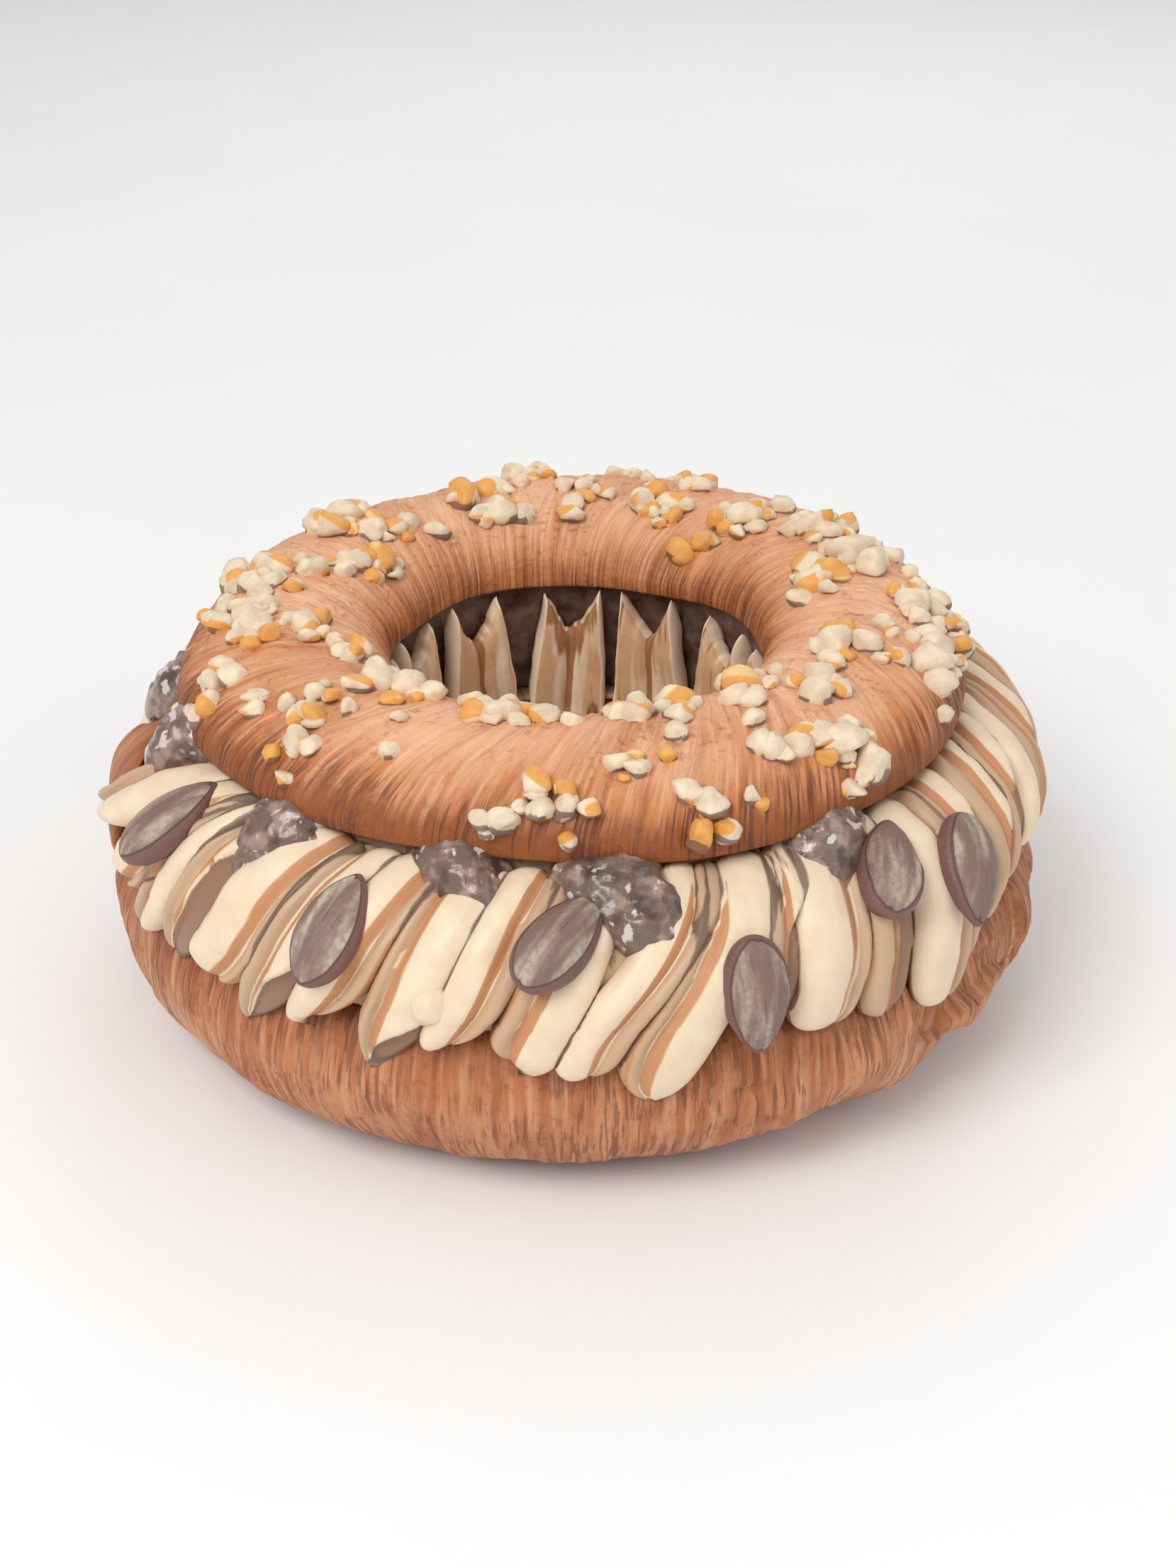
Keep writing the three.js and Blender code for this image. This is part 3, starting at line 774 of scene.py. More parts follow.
@dataclass(frozen=True)
class BaseCrust(ChouxHalf):
    """The lower half, with a flap of crust torn up from the edge of the cut."""

    middle: float = 70.5
    half_width: float = 33.0
    belly: float = 24.6
    half_height: float = 28.5
    floor: float = 0.0
    cut: float = 40.0
    finish: CrustFinish = CrustFinish(
        "base_choux_crust", paint(214, 156, 116), paint(182, 112, 70), paint(146, 76, 36),
        paint(230, 180, 142), paint(110, 68, 50), fineness=112.0, onset=-0.3, strength=0.68,
        upright=44.0,
    )
    crags_at: float = -38.0
    crags: float = 0.8
    ledges: float = 2.6
    ledge_circle: float = 80.0
    waves: float = 0.7
    undercut: float = 7.5
    undercut_at: float = -52.0
    flap_at: float = -171.0
    flap_half_angle: float = 13.0
    flap_foot: float = 31.0
    flap_top: float = 65.0
    flap_widest: float = 45.0
    flap_outer: float = 104.9
    flap_flare: float = 0.27
    flap_dome: float = 26.0
    flap_curl: float = 34.5
    flap_thickness: float = 3.3
    flap_rows: int = 70
    flap_columns: int = 56

    def relief(self, azimuth: Array, across: Array, height: Array) -> Array:
        """Slow waves on the outside, a foot drawn in at the right, and crags above it.

        The crags are two sines round the ring times a slanted one up the wall. The ledges are
        noise read on a wide circle, cut off to two levels.

        Args:
            azimuth: azimuths in radians.
            across: cosine of the angle of the section.
            height: heights.

        Returns:
            How far the crust stands out.
        """
        crag = np.maximum(0, np.cos(azimuth - np.radians(self.crags_at))) ** 3
        rough = waver(azimuth, (17, 23), self.crags, 7) * np.sin(0.21 * height + 4 * azimuth)
        foot = np.maximum(0, 1 - height / self.belly) ** 1.5
        drawn_in = foot * np.maximum(0, np.cos(azimuth - np.radians(self.undercut_at)))
        slanted = ring_points(azimuth, self.ledge_circle, 1.3 * height + 9 * azimuth)
        ledge = step(noise(slanted, 9.0, 15.0), -0.05, 0.05) - 0.5
        waves = waver(azimuth, (2, 3, 5), self.waves, 1) + (0.4 + crag) * rough
        waves = waves + self.ledges * crag * ledge
        return np.maximum(0, across) * (waves - self.undercut * drawn_in)

    def radius_at(self, azimuth: Array, height: Array) -> Array:
        """Outer radius of the crust at an azimuth in radians and a height."""
        level = np.minimum(height, self.cut)
        across = np.sqrt(1 - ((level - self.belly) / self.half_height) ** 2)
        return self.middle + self.half_width * across + self.relief(azimuth, across, level)

    def browned_and_shaded(self, angle: Array) -> Array:
        """Brown low down, paler at the belly, painted shade at the cut and in the hole."""
        low, high = bump(angle, TURN - 1.05, 0.3), bump(angle, 0.5, 0.4)
        return 0.2 + 0.6 * low + 0.35 * high + 0.4 * bump(angle, np.pi, 1.0)

    def flap_radius(self, height: Array) -> Array:
        """Radius of the flap's outer face: it widens up to the widest place, then is a dome."""
        rise = np.clip((height - self.flap_widest) / self.flap_dome, 0, 1)
        below = self.flap_flare * np.maximum(0, self.flap_widest - height)
        return self.flap_outer - below - self.flap_curl * (1 - np.sqrt(1 - rise * rise))

    def flap(self) -> Shell:
        """Makes the flap: an oval in height and thickness, carried along the rim.

        It is curled inwards. The top edge is highest in the middle and ragged, and both ends
        taper to a point.

        Returns:
            The closed surface with values for how brown it is.
        """
        across = np.sin(np.linspace(-1, 1, self.flap_rows) * np.pi / 2)[:, None]
        turn = round_angles(self.flap_columns)
        full = np.sqrt(np.maximum(0, 1 - across**6))
        lift = 0.5 + 0.5 * full * np.sign(np.sin(turn)) * np.abs(np.sin(turn)) ** 0.7
        ragged = 1 - 0.45 * across**2 + 0.15 * across + 0.03 * np.sin(9 * across)
        height = self.flap_foot + (self.flap_top - self.flap_foot) * lift * ragged
        spread = self.flap_half_angle * (1 - 0.3 * lift) * across
        thick = self.flap_thickness * full * (np.cos(turn) - 1) / 2
        grid = ring_points(np.radians(self.flap_at + spread), self.flap_radius(height) + thick,
                           height)
        grid = roughened(grid, 0.25, 9.0, 21.0)
        browned_and_shaded = 0.5 + 0.3 * step(lift, 0.9, 1.0) + 0.25 * noise(grid, 14.0, 33.0)
        torn = 1 - 0.65 * step(np.cos(turn), -0.2, 0.6)
        return closed(grid, {"browned_and_shaded": browned_and_shaded, "torn": torn})

    def build(self) -> list[Piece]:
        """Makes the crust with its flap."""
        shell, finish = joined([self.ring(), self.flap()]), self.finish.material()
        return [add_piece("base_crust", shell, finish, "base_crust", "base_choux")]


@dataclass(frozen=True)
class LidCrust(ChouxHalf):
    """The upper half, whole on top and flat below."""

    middle: float = 63.6
    half_width: float = 22.4
    belly: float = 72.6
    half_height: float = 15.1
    floor: float = 71.3
    cut: float = 200.0
    finish: CrustFinish = CrustFinish(
        "lid_choux_crust", paint(234, 178, 138), paint(202, 128, 78), paint(150, 82, 38),
        paint(246, 202, 166), paint(104, 64, 46), fineness=100.0, onset=0.02, strength=0.85,
        radial=48.0, swirl=6.0, veins=0.2,
    )
    edge: float = 0.5
    seed: float = 40.0
    outer_waves: float = 0.75
    hole_waves: float = 0.5

    def relief(self, azimuth: Array, across: Array, height: Array) -> Array:
        """An outline that isn't quite round, on the outside and at the hole."""
        outline = across * waver(azimuth, (3, 5, 8), self.outer_waves, 11)
        return outline + waver(azimuth, (2, 4), self.hole_waves, 17)

    def height_at(self, radius: Array) -> Array:
        """Height of the crust at a radius."""
        across = np.clip((radius - self.middle) / self.half_width, -0.97, 0.97)
        return self.belly + self.half_height * np.sqrt(1 - across * across)

    def browned_and_shaded(self, angle: Array) -> Array:
        """Pale crown and darkest outer rim, partly painted light; painted shade round the hole."""
        rim = bump(np.minimum(angle, TURN - angle), 0.0, 0.62)
        return 0.04 + 0.95 * rim + 0.5 * bump(angle, np.pi, 0.6)

    def build(self) -> list[Piece]:
        """Makes the lid's crust."""
        finish = self.finish.material()
        return [add_piece("lid_crust", self.ring(), finish, "lid_crust", "lid_choux")]


# --- Cream ---


@dataclass(frozen=True)
class Drape:
    """The line that a ribbon follows over the shoulder of the bed.

    It is a quarter of an ellipse from under the lid to the equator, then nearly straight down.
    """

    middle: float = 78.0
    reach: float = 22.7
    equator: float = 47.0
    rise: float = 18.3
    start: float = 80.5
    flare: float = 0.1

    @property
    def start_angle(self) -> float:
        """Angle of the ellipse at which the line starts."""
        return float(np.arccos((self.start - self.middle) / self.reach))

    @property
    def arc(self) -> float:
        """Length of the curved part."""
        return self.start_angle * (self.reach + self.rise) / 2

    def length(self, low: float) -> float:
        """Length of the line from its start down to a height."""
        if low < self.equator:
            return self.arc + self.equator - low
        return self.arc * (1 - np.arcsin((low - self.equator) / self.rise) / self.start_angle)

    def at(self, length: Array) -> tuple[Array, Array, Array, Array]:
        """Finds places on the line, and which way is out of the bed there.

        Args:
            length: lengths along the line.

        Returns:
            Radius and height, and the outward and upward parts of the way out.
        """
        drop = np.maximum(length - self.arc, 0)
        angle = self.start_angle * (1 - np.minimum(length, self.arc) / self.arc)
        radius = self.middle + self.reach * np.cos(angle) + self.flare * drop
        height = self.equator + self.rise * np.sin(angle) - drop
        out, up = np.cos(angle) / self.reach, np.sin(angle) / self.rise
        norm = np.hypot(out, up)
        return radius, height, out / norm, up / norm + self.flare * (drop > 0)


@dataclass(frozen=True)
class Ribbon:
    """One piped ribbon: azimuths of top and tip, height of the tip, width and sway.

    The crease lies across it from -1 at the left to 1 at the right. A scoop hollows the side to
    the right of the crease and is painted in brown shade, in the shape of a leaf that starts at
    the hollow's share of the length. The tip is 1 where it is pointed, 2 where it is round and 4
    where it is cut off, and the slant draws it out at the left, below 0, or at the right.
    """

    top: float
    tip: float
    low: float
    wide: float
    sway: float
    proud: float = 0.0
    crease: float = 0.3
    scoop: float = 0.0
    hollow: float = 0.3
    ending: float = 2.0
    slant: float = 0.0


@dataclass(frozen=True)
class PipedCream:
    """The bed of cream with its ribbons outside and its strokes in the hole."""

    base: BaseCrust
    drape: Drape = Drape()
    half_width: float = 7.9
    rest: float = 0.25
    rest_above_cut: float = 3.0
    rows: int = 56
    columns: int = 68
    web: float = 0.42
    scoop_depth: float = 0.6
    blunt_start: float = 0.1
    blunt_end: float = 0.3
    drawn_out: float = 0.13
    shown: tuple[Ribbon, ...] = (
        Ribbon(-146.5, -164, 49.5, 1.15, 0.4, proud=4.4, crease=-0.5, ending=2.6),
        Ribbon(-139, -157, 41, 1.2, 0.4, proud=1.4, crease=0.4, ending=2.6),
        Ribbon(-136, -151, 34, 0.8, 0.4, crease=-0.3, ending=2.2),
        Ribbon(-130.5, -143.5, 34, 0.85, 0.3, crease=-0.5, scoop=1.0, hollow=0.1, ending=1.6,
               slant=0.3),
        Ribbon(-123, -135, 38, 1.15, 0.3, crease=0.5, ending=4.0, slant=0.5),
        Ribbon(-116, -129, 31.5, 0.85, 0.2, crease=-0.3, scoop=1.0, hollow=0.45, ending=1.7,
               slant=-0.2),
        Ribbon(-108.5, -120.5, 36, 1.0, 0.2, crease=0.4, ending=2.8, slant=-0.9),
        Ribbon(-101.5, -112.5, 31.5, 0.95, 0.1, crease=-0.5, scoop=1.0, hollow=0.6, ending=1.4),
        Ribbon(-94, -104, 38, 0.9, 0.1, crease=0.3, ending=3.5, slant=-0.7),
        Ribbon(-87, -96, 34.5, 1.0, 0, crease=-0.4, ending=2.8, slant=0.9),
        Ribbon(-75, -89, 34, 0.95, -0.7, crease=0.3, ending=3.0, slant=-0.3),
        Ribbon(-69, -81.5, 29, 1.2, -0.7, crease=-0.5),
        Ribbon(-63, -67.5, 43, 0.75, -0.6, crease=-0.3, scoop=0.9, hollow=0.2),
        Ribbon(-58, -62.5, 38, 1.1, 0, crease=0.55, ending=2.8),
        Ribbon(-50.5, -54, 36, 0.85, 0, crease=-0.1, scoop=0.9, hollow=0.1, ending=3.5),
        Ribbon(-42, -45, 31, 1.05, -0.3, crease=0.45, ending=2.6),
        Ribbon(-34, -38, 35, 0.8, 0, crease=-0.4, scoop=1.0, hollow=0.15, ending=1.5),
        Ribbon(-24, -34, 41, 0.9, 0.4, crease=-0.1, scoop=1.0, hollow=0.35),
        Ribbon(-14, -29, 45, 1.0, 0.5, crease=-0.3, scoop=1.0, hollow=0.25),
        Ribbon(-4, -22, 47, 1.1, 0.5, crease=0.4),
        Ribbon(6, -12, 42, 1.1, 0.5, crease=-0.4, scoop=0.8, hollow=0.3),
    )
    far_first: float = 16.0
    far_last: float = 196.0
    far_count: int = 18
    far_slant: float = 14.0
    far_low: float = 36.5
    far_stub: float = 62.0
    far_stub_from: float = 155.0
    far_flat_from: float = 140.0
    far_flat: float = -4.0
    far_seed: float = 500.0
    fallen: Point = (-105.2, 49.0, 4.6)
    fallen_proud: float = 1.5
    bed_section: int = 150
    bed_around: int = 480
    bed_foot: tuple[tuple[float, float], ...] = ((42.0, 40.3), (97.0, 40.3))
    bed_proud: float = 0.8
    channel: tuple[tuple[float, float], ...] = (
        (78.3, 69.5), (78.3, 60.7), (62.3, 60.7), (58.3, 42.0), (42.0, 42.0),
    )
    bare_at: float = 173.0
    bare_ridges: float = 1.1
    outside: CreamFinish = CreamFinish(
        "ribbon_cream", paint(241, 220, 190), paint(200, 167, 134), paint(198, 136, 88),
        paint(150, 112, 88), paint(104, 84, 68),
    )
    # The strokes in the hole have a copy of the cream's finish with darker orange-brown, brown and
    # dark tones for their painted shade.
    inside: CreamFinish = CreamFinish(
        "stroke_cream", paint(246, 226, 198), paint(220, 178, 136), paint(168, 112, 68),
        paint(150, 98, 60), paint(96, 58, 36),
    )

    def far_ribbon(self, number: int) -> Ribbon:
        """Chooses a ribbon of the far side: even steps, each a little off.

        Args:
            number: which one, counted from the right.

        Returns:
            The ribbon, flatter where it is near the flap, and a stub beside it.
        """
        key = self.far_seed + 10 * number
        share = number / (self.far_count - 1)
        top = self.far_first + (self.far_last - self.far_first) * share + 1.2 * draw_signed(key)
        tip = top - self.far_slant - 3 * draw_signed(key + 1)
        hangs = self.far_low + 5 * draw_signed(key + 2)
        return Ribbon(
            top, tip, low=self.far_stub if tip > self.far_stub_from else hangs,
            wide=1.16 + 0.1 * draw_signed(key + 3), sway=0.6 * draw_signed(key + 4),
            proud=self.far_flat if tip > self.far_flat_from else 0.0,
            crease=0.6 * draw_signed(key + 5), scoop=draw(key + 6),
            ending=1.5 + 2 * draw(key + 7), slant=draw_signed(key + 8),
        )

    def scooped(self, side: Array, shape: Ribbon, along: Array) -> Array:
        """Where a ribbon is hollow, from 0 to 1: a leaf whose left border nears the crease."""
        grown = step(along, shape.hollow, shape.hollow + 0.35)
        border = shape.crease + 0.15 + (0.9 - shape.crease) * (1 - grown)
        return shape.scoop * step(side, border - 0.06, border + 0.06)

    def fluting(self, side: Array, shape: Ribbon, along: Array) -> Array:
        """Depth across a ribbon, from 0 at its edges to 1 on a ridge.

        Two round ridges meet in a sharp crease. The wider ridge is the higher one. The scoop
        lowers what it covers.

        Args:
            side: place across, from -1 to 1.
            shape: the ribbon.
            along: share of the way from its top to its tip.

        Returns:
            The depth at each place.
        """
        left = side < shape.crease
        middle = np.where(left, (shape.crease - 1) / 2, (shape.crease + 1) / 2)
        half = np.where(left, (shape.crease + 1) / 2, (1 - shape.crease) / 2)
        ridge = np.maximum(0, 1 - ((side - middle) / half) ** 2) ** 0.6
        share = self.web * np.sqrt(np.maximum(0, 1 - side**2))
        depth = share + (1 - share) * ridge * (0.55 + 0.5 * half)
        return depth * (1 - self.scoop_depth * self.scooped(side, shape, along))

    def fullness(self, shape: Ribbon, along: Array) -> Array:
        """Share of the full width: blunt at the start, a superellipse at the tip."""
        start = np.maximum(0, 1 - along / self.blunt_start) ** 2
        end = np.maximum(0, 1 - (1 - along) / self.blunt_end) ** shape.ending
        return np.sqrt(1 - start) * np.maximum(0, 1 - end) ** (1 / shape.ending)

    def centre(self, shape: Ribbon, along: Array) -> Array:
        """Azimuth of a ribbon's middle in radians: from top to tip with an S of the sway."""
        shift = along + shape.sway * np.sin(TURN * along) / TURN
        return np.radians(shape.top + (shape.tip - shape.top) * shift)

    def lift(self, shape: Ribbon, azimuth: Array, place: Array) -> Array:
        """Measures how far a ribbon stands out of the drape.

        Args:
            shape: the ribbon.
            azimuth: azimuths in radians.
            place: lengths along the drape.

        Returns:
            Its depth at each place, 0 beside it.
        """
        along = np.clip(place / self.drape.length(shape.low), 0, 1)
        full = self.fullness(shape, along)
        radius = self.drape.at(place)[0]
        wide = np.maximum(self.half_width * shape.wide * full, 1e-6)
        side = (azimuth - self.centre(shape, along)) * radius / wide
        depth = self.fluting(np.clip(side, -1, 1), shape, along)
        return (RIBBON_DEPTH + shape.proud) * full * depth * (np.abs(side) < 1)

    def ribbon(self, shape: Ribbon, neighbours: list[Ribbon], seed: float) -> Shell:
        """Makes one ribbon, draped from top to tip.

        The outer half of the section is the fluting, and the inner half is nearly flat. Where
        the ribbon reaches the bun it rests on the crust. Dark painted shade runs where the surface
        comes close to that of a neighbour, or to the drape, and painted shade colours the narrower
        ridge, the crease, the scoop, the top under the lid and the inner half.

        Args:
            shape: the ribbon.
            neighbours: the ribbons that it may touch.
            seed: of its fine unevenness.

        Returns:
            The closed surface with the values that the cream's finish reads.
        """
        even = np.linspace(0, 1, self.rows)[:, None]
        along = 0.6 * even + 0.4 * (1 - np.cos(np.pi * even)) / 2
        turn = round_angles(self.columns)[None, :]
        side, facing = np.cos(turn), np.sin(turn)
        flat = -0.2 * np.sqrt(np.maximum(0, 1 - side**2))
        depth = np.where(facing > 0, self.fluting(side, shape, along), flat)
        full = self.fullness(shape, along)
        length = self.drape.length(shape.low)
        drawn = abs(shape.slant) * (1 - np.sign(shape.slant) * side) / 2
        place = length * along * (1 - self.drawn_out * drawn * step(along, 0.45, 1))
        radius, height, out, up = self.drape.at(place)
        azimuth = self.centre(shape, along) + self.half_width * shape.wide * full * side / radius
        own = (RIBBON_DEPTH + shape.proud) * full * depth
        other = np.max([self.lift(near, azimuth, place) for near in neighbours], axis=0)
        height = height + RIBBON_DEPTH * full * depth * up
        rest = self.base.radius_at(azimuth, np.maximum(height, 0)) + self.rest
        rest = np.where(height < self.base.cut + self.rest_above_cut, rest, 0)
        radius = np.maximum(radius + own * out, rest)
        grid = ring_points(azimuth, radius, height)
        uneven = 0.5 * fractal(grid, 9.0, seed) * full
        grid = grid + uneven[..., None] * ring_points(azimuth, out, up)
        lane = side + 0.05 * noise(grid, 8.0, seed + 5)
        outer = step(facing, 0.02, 0.2)
        narrow = lane > shape.crease if shape.crease > 0 else lane < shape.crease
        scoop = self.scooped(lane, shape, along)
        close = step(other - own, -1.8, -0.7) * outer
        line = bump(lane, shape.crease - 0.14 * np.sign(shape.crease), 0.2) * (1 - close)
        second = 0.8 * bump(lane, np.sign(shape.crease) * 0.86, 0.1) * (shape.wide > 0.9)
        crevice_shade = np.maximum(step(other - own, -0.7, -0.25), step(-full * depth, -0.23, -0.11))
        # Painted shade, set by place: narrow ridge, crease, scoop, near neighbours, under the lid,
        # inner half.
        return closed(grid, {
            "lane": 3.0 * side * shape.wide + seed,
            "reach": 0.045 * length * along + seed,
            "shade": 0.85 * narrow + 0.5 * step(-along, -0.16, -0.04) + 1 - outer,
            "crease_shade_and_caramel": outer * (1 - scoop) * np.maximum(line, second),
            "deep_shade_and_mottle": outer * np.maximum(scoop, 0.62 * close) + 0.95 * (1 - outer),
            "crevice_shade": crevice_shade * outer,
        })

    def blob(self, azimuth: float, height: float, size: float) -> Shell:
        """Makes a drop of cream that fell between the ribbons: an uneven ball on the drape.

        Args:
            azimuth: where it lies, in degrees.
            height: height of its middle.
            size: its radius.

        Returns:
            The closed surface with the values that the cream's finish reads.
        """
        radius, level, _, _ = self.drape.at(np.array(self.drape.length(height)))
        centre = ring_points(np.radians(azimuth), radius + self.fallen_proud, level)
        ball = unit_ball(20, 24)
        grid = centre + size * ball * (1 + 0.12 * fractal(ball, 1.0, 77.0))[..., None]
        right = ball[..., 0]
        # Painted shade on the ball's right side, with an orange-brown band where it begins.
        return closed(grid, {"lane": 5.0, "reach": 5.0, "shade": step(right, 0.2, 0.9),
                             "crease_shade_and_caramel": bump(right, 0.62, 0.16), "deep_shade_and_mottle": 0.0, "crevice_shade": 0.0})

    def bed(self) -> Shell:
        """Makes the bed under the ribbons: an outline turned round the axis, slightly uneven.

        Where the crust's flap leaves it open it has low slanted ridges with sharp creases.

        Returns:
            The closed surface with the values that the cream's finish reads.
        """
        radius, height, out, up = self.drape.at(self.drape.arc * np.array([1, 0.65, 0.3, 0]))
        shoulder = zip(radius + self.bed_proud * out, height + self.bed_proud * up)
        corners = [*self.bed_foot, *shoulder, *self.channel]
        radius, height = rounded_outline(corners, self.bed_section, 1.0).T
        azimuth = round_angles(self.bed_around)[:, None]
        bare = bump(azimuth, np.radians(self.bare_at), 0.5) * step(radius, 84.0, 92.0)
        crease = 1 - np.abs(np.sin(17 * azimuth - 0.13 * height)) ** 0.6
        grid = ring_points(azimuth, radius - self.bare_ridges * bare * crease, height)
        # Painted shade over the bed, which shows between ribbons; where open, ridges stay light and
        # orange-brown shade lies in their creases.
        return closed(roughened(grid, 0.12, 6.0, 61.0), {
            "lane": 40 * azimuth, "reach": 0.3 * height,
            "shade": 0.9 - 0.9 * bare * step(-crease, -0.45, -0.3),
            "crease_shade_and_caramel": bare * bump(crease, 0.5, 0.22),
            "deep_shade_and_mottle": 0.4 * (1 - bare), "crevice_shade": 0.2 * (1 - bare),
        }, wrap_rows=True)

    def build(self) -> list[Piece]:
        """Makes the bed, the ribbons of both sides and the strokes in the hole.

        Returns:
            The pieces of cream.
        """
        outside, inside = self.outside.material(), self.inside.material()
        shapes = [*self.shown, *(self.far_ribbon(i) for i in range(self.far_count))]
        every = [
            self.ribbon(shape, [shapes[(i + k) % len(shapes)] for k in (-2, -1, 1, 2)], 5.0 * i)
            for i, shape in enumerate(shapes)
        ]
        near, far = every[:len(self.shown)], every[len(self.shown):]
        made = {
            "cream_bed": (self.bed(), outside),
            "cream_ribbons_near": (joined([*near, self.blob(*self.fallen)]), outside),
            "cream_ribbons_far": (joined(far), outside),
            "cream_strokes": (HoleStrokes().shell(), inside),
        }
        return [add_piece(name, *parts, "cream", "cream") for name, parts in made.items()]


@dataclass(frozen=True)
class HoleStrokes:
    """Two-fluted strokes that line the hole, each with a horn on each edge and a notch."""

    count: int = 12
    first: float = 93.8
    half_angle: float = 13.4
    narrowing: float = 0.34
    lean: float = 2.5
    face: float = 39.6
    back: float = 45.4
    notch: float = 59.5
    horn: float = 70.9
    ragged: float = 0.9
    edge: float = 1.3
    lip: float = 36.8
    lip_back: float = 39.2
    shelf: float = 40.45
    shelf_back: float = 42.3
    columns: int = 56
    levels: int = 40

    def stroke(self, number: int) -> Shell:
        """Makes one stroke, as a loop up its face and down its back, from edge to edge.

        The crown rises from the notch in the middle to the horns by a power of the distance
        from the middle. The edges stand out of the face and the middle is a crease. The stroke
        thins to nothing at its edges, at its crown and at its foot.

        Args:
            number: place round the hole.

        Returns:
            The closed surface with the values that the cream's finish reads.
        """
        across = np.linspace(-1, 1, self.columns)[:, None]
        rise = (1 - np.cos(np.linspace(0, np.pi, self.levels))) / 2
        rise = np.concatenate([rise, rise[-2:0:-1]])
        behind = np.arange(rise.size) >= self.levels
        crown = self.notch + (self.horn - self.notch) * np.abs(across) ** 1.3
        crown = crown + self.ragged * noise(ring_points(across, 3.0, number * 1.7), 0.5, 300.0)
        height = self.lip + (crown - self.lip) * rise
        lift = (height - self.lip) / (self.horn - self.lip)
        narrow = 1 - self.narrowing * lift**1.5
        lean = self.lean * draw_signed(700 + number)
        middle = self.first + 360 / self.count * number
        azimuth = np.radians(middle + self.half_angle * narrow * across + lean * lift)
        proud = self.edge * (across**2 - bump(across, 0, 0.14) + 0.6 * bump(np.abs(across), 1, 0.1))
        face = self.face - proud - 0.4 - 0.6 * (1 - step(height, self.lip, self.shelf))
        levels = [self.lip, self.shelf, self.shelf + 4]
        back = np.interp(height, levels, [self.lip_back, self.shelf_back, self.back])
        full = np.sqrt(np.maximum(0, 1 - across**8) * np.maximum(0, 1 - (2 * rise - 1) ** 8))
        centre = (face + back) / 2
        radius = centre + np.where(behind, 1, -1) * full * (back - face) / 2
        radius = np.where(full > 0, radius, centre)
        grid = roughened(ring_points(azimuth, radius, height), 0.35, 7.0, 310.0 + number)
        # Painted highlight: the edges and the top of the crown keep the light colour.
        edges = step(np.abs(across), 0.88, 0.94) + 0.4 * step(rise, 0.97, 0.99)
        inner = 1 - np.minimum(edges, 1)
        mottle = fractal(grid * np.array([1, 1, 0.2]), 4.5, 330.0)
        browner_near_crown = (0.25 + 0.3 * draw(720 + number)) * step(rise, 0.5, 0.95)
        streak = 0.4 * step(-mottle, 0.0, 0.6)
        # Painted shade: tan all over, an orange-brown line in the middle crease, darker towards the
        # foot; random mottle and a browner upper half vary it.
        return closed(grid, {
            "lane": 4.0 * across + 7.0 * number,
            "reach": 0.04 * height,
            "shade": (0.75 + 0.3 * mottle) * inner,
            "crease_shade_and_caramel": (1.2 * bump(across, -0.03, 0.08) + streak + browner_near_crown) * inner,
            "deep_shade_and_mottle": (0.4 * step(mottle, 0.1, 0.6) + 0.2 * (1 - lift)) * inner,
            "crevice_shade": 0.0,
        })

    def shell(self) -> Shell:
        """All the strokes."""
        return joined([self.stroke(number) for number in range(self.count)])


# --- Praline ---


@dataclass(frozen=True)
class Drip:
    """Praline that ran out from under the lid: azimuth, half width, lowest point and lift.

    The tail is how far its lower end is shifted to the right, in degrees.
    """

    at: float
    half_width: float
    low: float
    lift: float
    tail: float = 0.0


